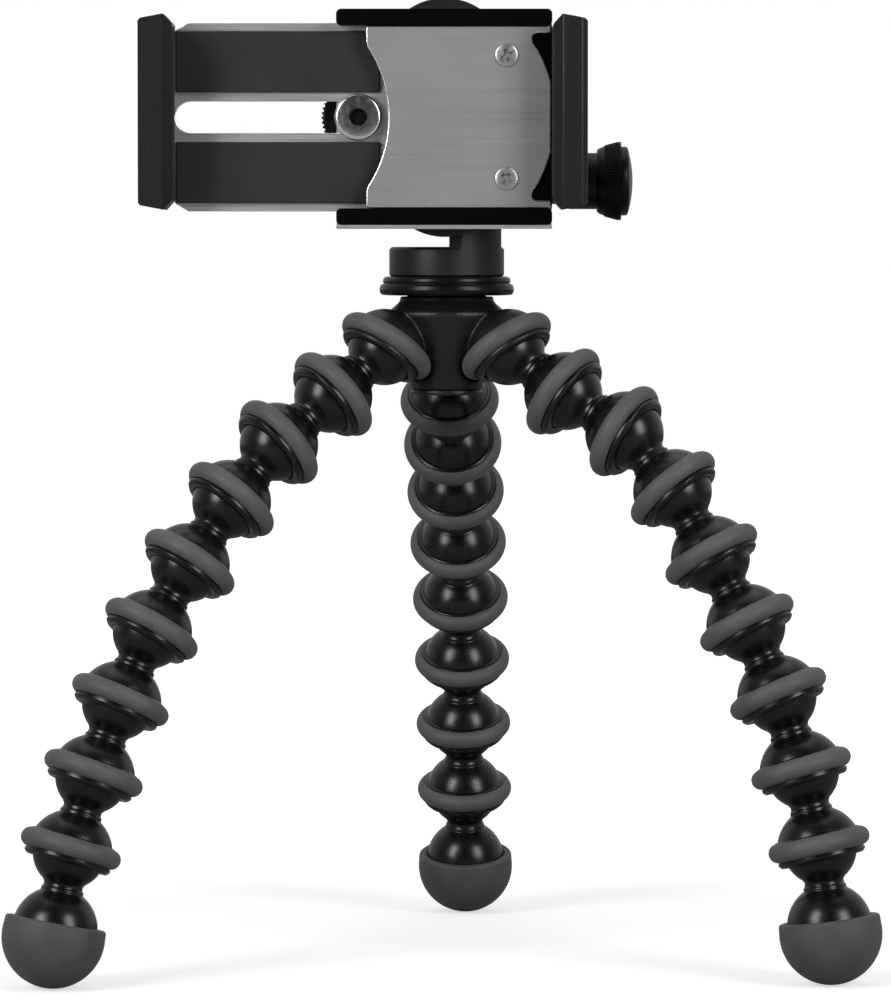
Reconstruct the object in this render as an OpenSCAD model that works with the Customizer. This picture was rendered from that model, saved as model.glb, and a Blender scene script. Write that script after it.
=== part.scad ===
// Phone tripod with three ball-and-socket legs and a locking phone clamp on a pan and tilt mount.
// Millimetres, +Z up, -Y is the side that faces the phone's user. The origin is on the floor,
// below the middle of the whole object.

/* [Leg links] */
// Distance from one ball centre to the next
link_pitch = 18.15; // [17.8:0.05:19]
// Radius of each ball
ball_r = 8.6; // [8.2:0.1:8.7]
// Gap between a ball and its socket
ball_gap = 0.1; // [0.06:0.01:0.15]
// Outer radius of a socket's dome
dome_r = 9.9; // [9.7:0.1:10.1]
// Radius of the neck between a ball and its dome
neck_r = 4.5; // [4.2:0.05:5]
// Height of the collar round the neck
collar_rise = 0.5; // [0.3:0.1:0.7]
// Reach of a socket's lip past its ball centre
lip_reach = 2.9; // [2.7:0.1:4]
// Step of the lip outside the seat of the grip ring
lip_step = 0.2; // [0.1:0.05:0.5]
// Chamfer at the lip's mouth
lip_chamfer = 0.7; // [0.3:0.1:1]
// Groove between the grip ring and the lip
ring_groove = 0.25; // [0.2:0.05:0.4]
// Step of the grip ring's seat outside the dome
seat_step = 0.2; // [0.1:0.05:0.5]
// Outer radius of a rubber grip ring
ring_r = 12; // [11.6:0.1:12.4]
// Width of a rubber grip ring along the leg
ring_w = 4.5; // [4:0.1:4.8]
// Distance from the ball centre back to the middle of the grip ring
ring_back = 0.9; // [0.6:0.1:1.2]

/* [Feet] */
// Radius of the rounded foot
foot_r = 12; // [11.6:0.1:12.6]
// Distance from the last ball piece's centre to the foot's centre
foot_reach = 1.8; // [1.2:0.1:3]
// Radius of the foot's rim
foot_rim_r = 11.8; // [11.2:0.1:12]
// Height of the rim behind the last ball piece's centre
foot_rim_back = 1.6; // [1:0.1:2.2]
// Radius of the peg that holds a foot
peg_r = 4.2; // [3.5:0.1:5]
// Length of the peg past the dome
peg_len = 1.9; // [1.2:0.1:2.6]

/* [Hub] */
// Distance of each hub socket from the hub's axis
socket_r = 17; // [16.8:0.1:17.6]
// Slope of the hub sockets from straight down
socket_angle = 37; // [34:0.5:39]
// Turn of the legs about the hub's axis
turn_angle = -0.4; // [-10:0.1:10]
// Outer radius of the hub's socket domes
hub_dome_r = 9.6; // [9.5:0.05:9.9]
// Radius of the hub's shoulder
shoulder_r = 14.3; // [13.6:0.1:15]
// Height of the shoulder above the socket centres
shoulder_h = 8.6; // [8:0.1:9.2]
// Radius of the hub's foot between the legs
waist_r = 8.2; // [8:0.1:8.8]
// Depth of the hub below the socket centres
waist_drop = 9.8; // [9:0.1:10.6]
// Radius of the hub's neck below the locking ring
hub_neck_r = 11.1; // [10.5:0.1:12]
// Height of the hub's neck above the socket centres
hub_neck_h = 12.4; // [11.8:0.1:13.2]
// Radius of the spigot that the locking ring turns on
spigot_r = 9; // [8.5:0.1:9.5]
// Radius of the hollow below the camera screw
hub_bore_r = 6.2; // [5.8:0.1:6.5]
// Thickness of the hub's base cap
cap_t = 1.2; // [0.9:0.1:1.6]

/* [Locking ring and camera screw] */
// Outer radius of the locking ring
lock_r = 16.1; // [15.4:0.1:17]
// Height of the locking ring
lock_h = 4; // [3.6:0.1:4.6]
// Radius of the locking ring's lower bead
lock_low_bead = 1.35; // [1.2:0.05:1.5]
// Radius of the locking ring's upper bead
lock_top_bead = 0.85; // [0.7:0.05:1]
// Radius of the camera screw, 1/4 inch
screw_r = 3.175; // [3:0.025:3.3]
// Running clearance of turning shafts
run_gap = 0.08; // [0.05:0.01:0.1]
// Gap between faces that turn past each other
face_gap = 0.3; // [0.2:0.05:0.4]

/* [Mount base] */
// Radius of the mount base
base_r = 13.7; // [13.2:0.1:14]
// Height of the low half of the mount base
base_h = 7.2; // [6.6:0.1:7.8]
// Height of the tilt axis above the underside of the mount base
tilt_h = 22.9; // [22.4:0.1:24]
// Radius of the ear round the tilt axis
ear_r = 12.6; // [12:0.1:13]
// Chamfer on the mount base's edges
base_chamfer = 0.6; // [0.3:0.1:0.9]
// Outer radius of the thread insert
insert_r = 5.4; // [5:0.1:6]
// Height of the thread insert
insert_h = 6.2; // [5.8:0.1:6.6]
// Thickness of the rubber pad under the mount base
pad_t = 0.8; // [0.6:0.05:1]

/* [Tilt knob] */
// Radius of the tilt screw
tilt_screw_r = 2.5; // [2:0.1:3]
// Distance of the knob's grip from the hub's axis
knob_x = 35.8; // [35:0.1:38]
// Length of the knob's ribbed grip
knob_len = 5.7; // [4.5:0.1:7]
// Radius of the grip at its wide end
knob_r = 9.4; // [8.8:0.1:10]
// Taper of the grip over its length
knob_taper = 1.7; // [0.5:0.05:2]
// Radius of the knob's neck
knob_neck_r = 6.7; // [6:0.1:7.2]
// Length of the knob's neck
knob_neck_len = 7; // [5:0.5:9]
// Radius of the knob's stem
knob_stem_r = 5.5; // [4.8:0.1:6]
// Number of ribs round the knob
knob_ribs = 36; // [24:1:44]
// Thickness of the knob's domed cap
knob_cap_t = 2.75; // [2.4:0.05:3.4]

/* [Clamp] */
// Height of the holder's centre above the tilt axis
holder_rise = 14.8; // [14.2:0.1:15.2]
// Distance from the tilt axis forward to the hinge bracket
bracket_offset = 14.2; // [14.2:0.1:15.5]
// Thickness of the hinge bracket
bracket_t = 2.2; // [1.8:0.1:2.6]
// Width of the hinge bracket
bracket_w = 30; // [28:0.5:31]
// Left end of the clamp body
body_left = 25.9; // [24:0.1:28]
// Right end of the clamp body
body_right = 24.7; // [24:0.1:27]
// Height of the clamp body over its rails
body_h = 50.6; // [48:0.1:53]
// Height of each rail
rail_h = 3.9; // [3.5:0.1:4.3]
// Thickness of the steel back shell
wall_t = 1.8; // [1.5:0.1:2]
// Thickness of the sliding plate
slide_t = 1.2; // [1:0.1:1.4]
// Thickness of the sliding plate's rubber pads
slide_pad_t = 1; // [0.8:0.1:1.1]
// Clearance behind and before the sliding plate
slide_gap = 0.3; // [0.25:0.05:0.4]
// Thickness of the black core plate
core_t = 2.4; // [2:0.1:2.8]
// Thickness of the steel front plate
plate_t = 0.8; // [0.6:0.1:1]
// How far the rails stand in front of the front plate
rail_proud = 0.8; // [0.4:0.1:1.2]
// Height of the slot in the sliding plate
slot_h = 7.4; // [7:0.1:7.8]
// Gap between the open jaws
jaw_gap = 88.8; // [88:0.5:94]
// Width of each jaw
jaw_w = 7.9; // [7.6:0.1:9]
// Height of each jaw
jaw_h = 45.5; // [45:0.5:49]
// How far the jaws stand in front of the front plate
jaw_reach = 12.5; // [10:0.5:15]
// Thickness of the jaws' rubber pads
jaw_pad_t = 1.4; // [1:0.1:1.8]
// Distance of the clamp bolt from the hub's axis
bolt_x = 20.8; // [20.8:0.1:21.6]
// Radius of the clamp bolt's head
bolt_head_r = 5.5; // [5:0.1:5.6]
// Radius of the clamp bolt's shank
bolt_r = 2.5; // [2:0.1:2.8]
// Radius of the thumbwheel
wheel_r = 8.8; // [8.2:0.1:9]
// Width of the thumbwheel
wheel_w = 5; // [4:0.5:6]
// Number of ribs round the thumbwheel
wheel_ribs = 30; // [20:1:36]

/* [Hidden] */
$fn = 64;

// Legs: name and azimuth of each, and how far hub socket, links and foot
// slope from straight down
legs = ["left", "right", "rear"];
azimuth_angles = [210, 330, 90];
left_angles = [socket_angle, 52.5, 52.3, 43.1, 36.5, 32.8, 25.9, 22.2, 18.6, 12.2];
right_angles = [socket_angle, 55, 59.9, 42.4, 32, 29.5, 25.5, 18.2, 14.2, 8];
rear_angles = [socket_angle, 40.2, 52.8, 47.4, 41.8, 36.4, 27, 21.2, 17.9, 12.8];
leg_angles = [left_angles, right_angles, rear_angles];
// Sideways swing of each leg in its hub socket
swing_angles = [-1.3, 5.8, -2.7];
link_count = 8;
foot_index = link_count + 1;
half_turn = 180;
full_turn = 360;
hex = 6;
few_facets = 16;

// One overrun serves all cuts, and one small clearance all pieces that are pressed together
overrun = 1;
seat_gap = 0.04;

// Link values, measured along the link's axis from its own socket's centre towards the foot
ring_seat_r = dome_r + seat_step;
ring_top = -ring_back - ring_w / 2;
lip_base = ring_top + ring_w + ring_groove;
lip_r = ring_seat_r + lip_step;
cavity_r = ball_r + ball_gap;
ring_crown = ring_r - ring_seat_r;
ring_tube_r = (ring_w * ring_w / 4 + ring_crown * ring_crown) / (2 * ring_crown);
dome_edge = sqrt(dome_r * dome_r - neck_r * neck_r);
collar_w = 1.3;

function along(slope) = [sin(slope), 0, -cos(slope)];
function chain(list, i) =
    i == 0 ? [0, 0, 0] : chain(list, i - 1) + link_pitch * along(list[i]);
function foot_centre(list) = chain(list, foot_index) + foot_reach * along(list[foot_index]);
function turned(p, a) = [p[0] * cos(a) - p[1] * sin(a), p[0] * sin(a) + p[1] * cos(a)];

// The feet set the hub's place: its height, and the middle of the feet's box over the origin
socket_z = foot_r - min([for (list = leg_angles) foot_centre(list)[2]]);
function foot_spot(k) =
    turned([socket_r, 0] + turned(foot_centre(leg_angles[k]), swing_angles[k]), azimuth_angles[k] + turn_angle);
foot_spots = [for (k = [0 : 2]) foot_spot(k)];
foot_xs = [for (p = foot_spots) p[0]];
foot_ys = [for (p = foot_spots) p[1]];
hub_x = -(max(foot_xs) + min(foot_xs)) / 2;
hub_y = -(max(foot_ys) + min(foot_ys)) / 2;

// Hub values
ring_room = 0.25;
shoulder_slant = 2.6;
hub_top_wall = 3;
hollow_z = hub_neck_h - hub_top_wall;
screw_flange_t = 2;
screw_flange_r = hub_bore_r - face_gap;
cap_rim = 0.3;
cap_plug_h = 2;
lock_z = socket_z + hub_neck_h + face_gap;
base_z = lock_z + lock_h + face_gap;
pad_proud = 0.15;
pad_rim = 1.4;
pad_inner_gap = 0.5;
spigot_top_z = base_z - pad_proud - face_gap;
tilt_z = base_z + tilt_h;
holder_z = tilt_z + holder_rise;
lock_mid_r = lock_r - lock_low_bead;
lock_bead_lift = 0.05;

// Ear and lug round the tilt axis
ear_x = 0.6;
ear_room = 0.7;
ear_w = base_r - ear_x - ear_room;
side_share = 0.985;
lug_r = 11;
lug_right = ear_x - face_gap;
lug_left = -12;
nut_r = 4.5;
nut_h = 3.2;
insert_tip_gap = 0.8;

// Knob, measured along the tilt axis from the hub's axis
knob_start = ear_x + ear_w + face_gap;
rib_cut_r = 0.42;
knob_edge = 0.9;
belly_share = 0.38;
cap_inset = 1.2;
cap_crown_r = 27;

// Clamp depths, measured from the tilt axis: forward is towards -Y
wall_y = -bracket_offset - bracket_t;
wall_front_y = wall_y - wall_t;
slide_y = wall_front_y - slide_gap;
slide_pad_y = slide_y - slide_t;
core_y = slide_pad_y - slide_pad_t - slide_gap;
plate_y = core_y - core_t;
front_y = plate_y - plate_t;
rail_front_y = front_y - rail_proud;
jaw_front_y = front_y - jaw_reach;

// Clamp outlines, seen from the front
plate_h = body_h - 2 * rail_h;
slide_inset = 3.2;
slide_h = body_h - 2 * slide_inset;
bracket_x = -0.5;
bracket_over = 2.8;
bracket_h = body_h + 2 * bracket_over;
bracket_screw_r = 1.25;
bracket_head_r = 2.4;
bracket_head_t = 1.2;
bracket_screw_x = 9;
bracket_screw_zs = [5, 19];
flange_t = 0.9;
rail_corner_r = 1.2;
plate_left = 18.9;
plate_room = 0.3;
plate_right = body_right - plate_room;
bay_r = 29.6;
bay_x = 13.7;
core_inset = 0.5;
lobe_r = 33.3;
lobe_x = 25.4;
notch_x = 20.3;
notch_edge = 1.8;
notch_h = plate_h - 2 * notch_edge;
notch_corner_r = 2.3;
screw_x = 14;
screw_h = 28.8;
plate_screw_r = 1.2;
plate_head_r = 2.7;
plate_head_proud = 0.35;
cross_w = 0.6;
cross_len = 2.8;
cross_depth = 0.7;
pad_inner_h = 11.6;
strip_inset = 1.9;
strip_short = 2.5;
pad_outer_h = slide_h - 2 * strip_inset;
slide_cut = 3.2;
pad_edge = 0.25;

// Jaws
jaw_inset = 0.2;
jaw_right_x = body_right + jaw_inset;
jaw_left_x = jaw_right_x - jaw_gap;
jaw_rise = 1;
jaw_crest_share = 0.25;
jaw_inner_drop = 2.2;
jaw_outer_drop = 1;
jaw_corner = 0.6;
bevel_w = 2.2;
bevel_len = 2.6;
jaw_edge = 1.2;
tongue_len = 6;
tongue_h = 32;
jaw_pad_margin = 3;
jaw_pad_proud = 0.3;
pad_groove_r = 0.45;
pad_grooves = 4;
rivet_r = 1.5;
rivet_head_r = 2.4;
rivet_head_t = 0.7;
rivet_x = 3.6;
rivet_h = 22;

// Bolt and thumbwheel
slot_inset = 0.1;
slot_left_x = jaw_left_x + slot_inset;
slot_right_x = slot_h / 2 + face_gap - bolt_x;
slide_end_x = slot_right_x + jaw_edge + bolt_r;
head_gap = 0.3;
head_t = 2.3;
head_edge = 0.5;
socket_hex_r = 2.1;
socket_depth = 1.4;
guide_room = 0.25;
guide_r = slot_h / 2 - guide_room;
wheel_boss_r = 4.4;
wheel_y = -bracket_offset + face_gap;
wheel_nut_r = 4.2;
wheel_nut_h = 2.6;
bolt_tail = 1.6;

function bracket_spots() =
    [for (x = [-1, 1], z = bracket_screw_zs) [bracket_x + x * bracket_screw_x, z]];

module at_hub(z) {
    translate([hub_x, hub_y, z]) children();
}

module at_link(leg, i) {
    at_hub(socket_z)
        rotate([0, 0, azimuth_angles[leg] + turn_angle])
            translate([socket_r, 0, 0])
                rotate([0, 0, i > 0 ? swing_angles[leg] : 0])
                    translate(chain(leg_angles[leg], i))
                        rotate([0, half_turn - leg_angles[leg][i], 0])
                            children();
}

// Turns the Z axis of its children onto the tilt axis
module along_tilt(x) {
    at_hub(tilt_z) translate([x, 0, 0]) rotate([0, 90, 0]) children();
}

// Draws a front-view outline from depth y_front back to depth y_back in the clamp
module slab(y_front, y_back) {
    at_hub(holder_z) translate([0, y_back, 0]) rotate([90, 0, 0])
        linear_extrude(y_back - y_front) children();
}

// Sets a turned piece of the clamp with its axis along the depth, its Z axis pointing back
module facing(x, z, y) {
    at_hub(holder_z) translate([x, y, z]) rotate([-90, 0, 0]) children();
}

module rounded_box(x1, x2, z1, z2, r) {
    translate([x1 + r, z1]) square([x2 - x1 - 2 * r, z2 - z1]);
    translate([x1, z1 + r]) square([x2 - x1, z2 - z1 - 2 * r]);
    for (x = [x1 + r, x2 - r], z = [z1 + r, z2 - r]) translate([x, z]) circle(r);
}

// Socket with its dome, the seat of its grip ring and its lip
module socket_body(r) {
    sphere(r);
    translate([0, 0, ring_top]) cylinder(r = ring_seat_r, h = lip_base - ring_top);
    translate([0, 0, lip_base]) cylinder(r = lip_r, h = lip_reach - lip_chamfer - lip_base);
    translate([0, 0, lip_reach - lip_chamfer])
        cylinder(r1 = lip_r, r2 = lip_r - lip_chamfer, h = lip_chamfer);
}

module socket_cut() {
    sphere(cavity_r);
    translate([0, 0, lip_reach]) cylinder(r = lip_r, h = dome_r);
}

// Ball on its neck, with the collar round the neck where the dome starts
module ball_stalk() {
    translate([0, 0, -link_pitch]) sphere(ball_r);
    translate([0, 0, -link_pitch]) cylinder(r = neck_r, h = link_pitch);
    translate([0, 0, -dome_edge - collar_w / 2]) cylinder(r = neck_r + collar_rise, h = collar_w);
}

module ring_shape(grow) {
    translate([0, 0, -ring_back]) rotate_extrude()
        translate([ring_r - ring_tube_r, 0]) circle(ring_tube_r + grow);
}

module grip_ring() {
    color("dimgray") difference() {
        ring_shape(0);
        translate([0, 0, ring_top - overrun])
            cylinder(r = ring_seat_r + seat_gap, h = ring_w + 2 * overrun);
    }
}

module link_shell() {
    color("black") difference() {
        union() {
            socket_body(dome_r);
            ball_stalk();
        }
        socket_cut();
    }
}

module leg_link(leg, i) {
    at_link(leg, i) {
        link_shell();
        grip_ring();
    }
}

module leg_foot_ball(leg) {
    color("black") at_link(leg, foot_index) {
        sphere(dome_r);
        ball_stalk();
        cylinder(r = peg_r, h = dome_r + peg_len);
    }
}

module leg_foot(leg) {
    color("dimgray") at_link(leg, foot_index) difference() {
        union() {
            translate([0, 0, foot_reach]) sphere(foot_r);
            translate([0, 0, -foot_rim_back]) cylinder(r = foot_rim_r, h = foot_rim_back + foot_reach);
        }
        sphere(dome_r + seat_gap);
        cylinder(r = peg_r + seat_gap, h = dome_r + peg_len + seat_gap);
        translate([0, 0, -foot_rim_back - foot_r]) cylinder(r = foot_r, h = foot_r);
    }
}

module hub_shell() {
    color("black") difference() {
        union() {
            difference() {
                at_hub(socket_z) rotate_extrude() polygon([
                    [0, -waist_drop],
                    [waist_r, -waist_drop],
                    [shoulder_r, shoulder_h],
                    [hub_neck_r, shoulder_h + shoulder_slant],
                    [hub_neck_r, hub_neck_h],
                    [0, hub_neck_h]
                ]);
                for (k = [0 : 2]) at_link(k, 0) ring_shape(ring_room);
            }
            at_hub(socket_z) cylinder(r = spigot_r, h = spigot_top_z - socket_z);
            for (k = [0 : 2]) at_link(k, 0) socket_body(hub_dome_r);
        }
        for (k = [0 : 2]) at_link(k, 0) socket_cut();
        at_hub(socket_z - waist_drop - overrun)
            cylinder(r = hub_bore_r, h = hollow_z + waist_drop + overrun);
        at_hub(socket_z) cylinder(r = screw_r + seat_gap, h = base_z - socket_z);
    }
}

module hub_socket_rings() {
    for (k = [0 : 2]) at_link(k, 0) grip_ring();
}

module hub_base_cap() {
    color("black") at_hub(socket_z - waist_drop) {
        translate([0, 0, -cap_t]) cylinder(r = waist_r + cap_rim, h = cap_t);
        cylinder(r = hub_bore_r - seat_gap, h = cap_plug_h);
    }
}

module camera_screw() {
    color("silver") at_hub(socket_z + hollow_z - screw_flange_t) {
        cylinder(r = screw_flange_r, h = screw_flange_t);
        cylinder(r = screw_r, h = base_z + insert_h - insert_tip_gap - socket_z - hollow_z + screw_flange_t);
    }
}

module lock_ring() {
    color("black") at_hub(lock_z) rotate_extrude() {
        translate([spigot_r + run_gap, 0]) square([lock_mid_r - spigot_r - run_gap, lock_h]);
        translate([lock_mid_r, lock_low_bead + lock_bead_lift]) circle(lock_low_bead);
        translate([lock_mid_r, lock_h - lock_top_bead - lock_bead_lift]) circle(lock_top_bead);
    }
}

module ear_outline(r, foot_w, foot_z) {
    circle(r);
    polygon([
        [-foot_w, foot_z],
        [foot_w, foot_z],
        [r * side_share, 0],
        [-r * side_share, 0]
    ]);
}

module base_post() {
    color([0.12, 0.12, 0.13]) difference() {
        union() {
            at_hub(base_z) rotate_extrude() polygon([
                [0, 0],
                [base_r - base_chamfer, 0],
                [base_r, base_chamfer],
                [base_r, base_h - base_chamfer],
                [base_r - base_chamfer, base_h],
                [0, base_h]
            ]);
            intersection() {
                at_hub(base_z + base_chamfer) cylinder(r = base_r, h = tilt_h + ear_r);
                at_hub(tilt_z) translate([ear_x, 0, 0]) rotate([90, 0, 90])
                    linear_extrude(ear_w) ear_outline(ear_r, base_r, base_chamfer - tilt_h);
            }
        }
        along_tilt(0) cylinder(r = tilt_screw_r + run_gap, h = base_r + overrun);
        at_hub(base_z - overrun) cylinder(r = insert_r + seat_gap, h = insert_h + overrun);
        at_hub(base_z - overrun)
            cylinder(r = base_r - pad_rim, h = pad_t - pad_proud + overrun);
    }
}

module thread_insert() {
    color("goldenrod") difference() {
        at_hub(base_z) cylinder(r = insert_r, h = insert_h - seat_gap);
        at_hub(base_z - overrun) cylinder(r = screw_r + run_gap, h = insert_h + 2 * overrun);
    }
}

module base_pad() {
    color("dimgray") at_hub(base_z - pad_proud) difference() {
        cylinder(r = base_r - pad_rim - seat_gap, h = pad_t - seat_gap);
        translate([0, 0, -overrun]) cylinder(r = insert_r + pad_inner_gap, h = pad_t + 2 * overrun);
    }
}

module tilt_screw() {
    color("silver") along_tilt(lug_left + pad_inner_gap)
        cylinder(r = tilt_screw_r, h = knob_x + knob_len / 2 - lug_left - pad_inner_gap);
}

module knob_grip() {
    color("black") difference() {
        along_tilt(0) rotate_extrude() polygon([
            [0, knob_start],
            [knob_stem_r, knob_start],
            [knob_stem_r, knob_x - knob_neck_len],
            [knob_neck_r, knob_x - knob_neck_len],
            [knob_neck_r, knob_x],
            [knob_r - knob_taper, knob_x],
            [knob_r - knob_taper * belly_share, knob_x + knob_len / 2],
            [knob_r, knob_x + knob_len - knob_edge / 2],
            [knob_r - knob_edge / 2, knob_x + knob_len],
            [0, knob_x + knob_len]
        ]);
        along_tilt(0) cylinder(r = tilt_screw_r + seat_gap, h = knob_x + knob_len / 2 + seat_gap);
        for (i = [0 : knob_ribs - 1])
            along_tilt(knob_x) rotate([0, 0, i * full_turn / knob_ribs])
                translate([knob_r - knob_taper + rib_cut_r / 2, 0, -rib_cut_r])
                    rotate([0, atan(knob_taper / knob_len), 0])
                        cylinder(r = rib_cut_r, h = knob_len + 2 * overrun, $fn = few_facets);
    }
}

module knob_cap() {
    color("black") along_tilt(knob_x + knob_len + seat_gap) intersection() {
        cylinder(r = knob_r - cap_inset, h = knob_cap_t);
        translate([0, 0, knob_cap_t - cap_crown_r]) sphere(cap_crown_r);
    }
}

module hinge_bracket() {
    end_z = (bracket_h - bracket_w) / 2;
    side = bracket_w * side_share / 2;
    color([0.1, 0.1, 0.11]) difference() {
        union() {
            slab(wall_y, wall_y + bracket_t) translate([bracket_x, 0]) {
                for (s = [-1, 1]) translate([0, s * end_z]) circle(bracket_w / 2);
                polygon([[-side, -end_z], [side, -end_z], [side, end_z], [-side, end_z]]);
            }
            at_hub(tilt_z) translate([lug_left, 0, 0]) rotate([90, 0, 90])
                linear_extrude(lug_right - lug_left) {
                    circle(lug_r);
                    polygon([
                        [wall_y + bracket_t / 2, -lug_r],
                        [0, -lug_r * side_share],
                        [0, lug_r * side_share],
                        [wall_y + bracket_t / 2, lug_r]
                    ]);
                }
        }
        along_tilt(lug_left - overrun)
            cylinder(r = tilt_screw_r + run_gap, h = lug_right - lug_left + 2 * overrun);
        along_tilt(lug_left - overrun) cylinder(r = nut_r + seat_gap, h = nut_h + overrun, $fn = hex);
        for (p = bracket_spots()) facing(p[0], p[1], wall_y) {
            translate([0, 0, -overrun])
                cylinder(r = bracket_screw_r + seat_gap, h = bracket_t + 2 * overrun);
            translate([0, 0, bracket_t - bracket_head_t]) cylinder(
                r1 = bracket_screw_r + seat_gap,
                r2 = bracket_head_r + seat_gap,
                h = bracket_head_t + seat_gap / 2
            );
        }
    }
}

module bracket_screws() {
    color("silver") for (p = bracket_spots()) facing(p[0], p[1], wall_front_y + seat_gap) difference() {
        union() {
            cylinder(r = bracket_screw_r, h = wall_t + bracket_t - seat_gap);
            translate([0, 0, wall_t + bracket_t - bracket_head_t - seat_gap])
                cylinder(r1 = bracket_screw_r, r2 = bracket_head_r, h = bracket_head_t);
        }
        translate([0, 0, wall_t + bracket_t - cross_depth])
            cylinder(r = bracket_screw_r, h = overrun, $fn = hex);
    }
}

module hinge_nut() {
    color("silver") along_tilt(lug_left) difference() {
        cylinder(r = nut_r, h = nut_h - seat_gap, $fn = hex);
        translate([0, 0, -overrun]) cylinder(r = tilt_screw_r + run_gap, h = nut_h + 2 * overrun);
    }
}

module back_shell() {
    low = -body_h / 2;
    color("silver") difference() {
        union() {
            slab(wall_front_y, wall_y)
                rounded_box(-body_left, body_right, low - flange_t, -low, rail_corner_r);
            slab(rail_front_y, wall_front_y + wall_t / 2)
                rounded_box(-body_left, body_right, low - flange_t, low, flange_t / 3);
            slab(wall_front_y, wall_y) translate([0, jaw_rise - tongue_h / 2])
                square([body_right + tongue_len, tongue_h]);
        }
        facing(-bolt_x, 0, wall_front_y - overrun)
            cylinder(r = bolt_r + seat_gap, h = wall_t + 2 * overrun);
        for (p = bracket_spots()) facing(p[0], p[1], wall_front_y - overrun)
            cylinder(r = bracket_screw_r + seat_gap, h = wall_t + 2 * overrun);
    }
}

// Rail with the groove that the sliding plate's edge runs in; side is 1 for the top, -1 for the bottom
module rail(side) {
    inner = plate_h / 2;
    outer = body_h / 2 - seat_gap;
    low = side > 0 ? inner : -outer;
    color([0.08, 0.08, 0.08]) difference() {
        slab(rail_front_y, wall_front_y - seat_gap)
            rounded_box(-body_left, body_right, low, low + outer - inner, rail_corner_r);
        slab(slide_pad_y - slide_gap, wall_front_y + overrun)
            translate([-body_left - overrun, -slide_h / 2 - slide_gap])
                square([body_left + body_right + 2 * overrun, slide_h + 2 * slide_gap]);
    }
}

module core_plate() {
    color("black") difference() {
        slab(plate_y, core_y) difference() {
            translate([-plate_left + core_inset, seat_gap - plate_h / 2])
                square([plate_left - core_inset + body_right, plate_h - 2 * seat_gap]);
            translate([-bay_x - bay_r, 0]) circle(bay_r + core_inset);
        }
        for (s = [-1, 1]) facing(screw_x, s * screw_h / 2, plate_y - overrun)
            cylinder(r = plate_screw_r + seat_gap, h = core_t + 2 * overrun);
    }
}

module front_plate() {
    color("darkgray") difference() {
        slab(front_y, plate_y - seat_gap) difference() {
            translate([-plate_left, seat_gap - plate_h / 2])
                square([plate_left + plate_right, plate_h - 2 * seat_gap]);
            translate([-bay_x - bay_r, 0]) circle(bay_r);
            difference() {
                rounded_box(notch_x, notch_x + body_right, -notch_h / 2, notch_h / 2, notch_corner_r);
                translate([lobe_x - lobe_r, 0]) circle(lobe_r);
            }
        }
        for (s = [-1, 1]) facing(screw_x, s * screw_h / 2, front_y)
            cylinder(r1 = plate_head_r + seat_gap, r2 = plate_screw_r + seat_gap, h = plate_t);
    }
}

module plate_screws() {
    color("silver") for (s = [-1, 1]) facing(screw_x, s * screw_h / 2, front_y) difference() {
        union() {
            translate([0, 0, -plate_head_proud]) cylinder(r = plate_head_r, h = plate_head_proud);
            cylinder(r1 = plate_head_r, r2 = plate_screw_r, h = plate_t - seat_gap);
            cylinder(r = plate_screw_r, h = plate_t + core_t - seat_gap);
        }
        for (a = [0, 90]) rotate([0, 0, a])
            translate([-cross_len / 2, -cross_w / 2, -overrun])
                cube([cross_len, cross_w, overrun + cross_depth - plate_head_proud]);
    }
}

// Outline of a jaw from above: x runs outward from the inner face, y is the depth
module jaw_outline(back_y) {
    polygon([
        [0, back_y],
        [0, jaw_front_y + bevel_len],
        [bevel_w, jaw_front_y],
        [jaw_w - jaw_edge, jaw_front_y],
        [jaw_w, jaw_front_y + jaw_edge],
        [jaw_w, back_y - jaw_edge],
        [jaw_w - jaw_edge, back_y]
    ]);
}

// Outline of a jaw from the front: x runs outward from the inner face, the jaw's middle is at zero
module jaw_front() {
    low = jaw_h / 2 - jaw_inner_drop;
    side = jaw_h / 2 - jaw_outer_drop;
    polygon([
        [0, low],
        [jaw_w * jaw_crest_share, jaw_h / 2],
        [jaw_w - jaw_corner, side],
        [jaw_w, side - jaw_corner],
        [jaw_w, jaw_corner - side],
        [jaw_w - jaw_corner, -side],
        [jaw_w * jaw_crest_share, -jaw_h / 2],
        [0, -low]
    ]);
}

// Jaw whose inner face is at x, turned outward by side, with the slot for the plate that carries it
module jaw(x, side, tongue_front, tongue_back) {
    flip = side > 0 ? 0 : 1;
    difference() {
        intersection() {
            at_hub(holder_z + jaw_rise - jaw_h / 2) translate([x, 0, 0]) mirror([flip, 0, 0])
                linear_extrude(jaw_h) jaw_outline(wall_y);
            slab(jaw_front_y - overrun, wall_y + overrun)
                translate([x, jaw_rise]) mirror([flip, 0]) jaw_front();
        }
        slab(tongue_front - seat_gap, tongue_back + seat_gap)
            translate([x - tongue_len - seat_gap, jaw_rise - tongue_h / 2 - seat_gap])
                square([2 * (tongue_len + seat_gap), tongue_h + 2 * seat_gap]);
        jaw_pad_block(x, side, seat_gap);
    }
}

module jaw_pad_block(x, side, grow) {
    reach = jaw_pad_t - jaw_pad_proud + grow;
    y1 = jaw_front_y + bevel_len + jaw_edge;
    slab(y1 - grow, rail_front_y - jaw_edge + grow)
        translate([side > 0 ? x - jaw_pad_proud : x - reach, jaw_rise - jaw_h / 2 + jaw_pad_margin - grow])
            square([reach + jaw_pad_proud, jaw_h - 2 * jaw_pad_margin + 2 * grow]);
}

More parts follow.
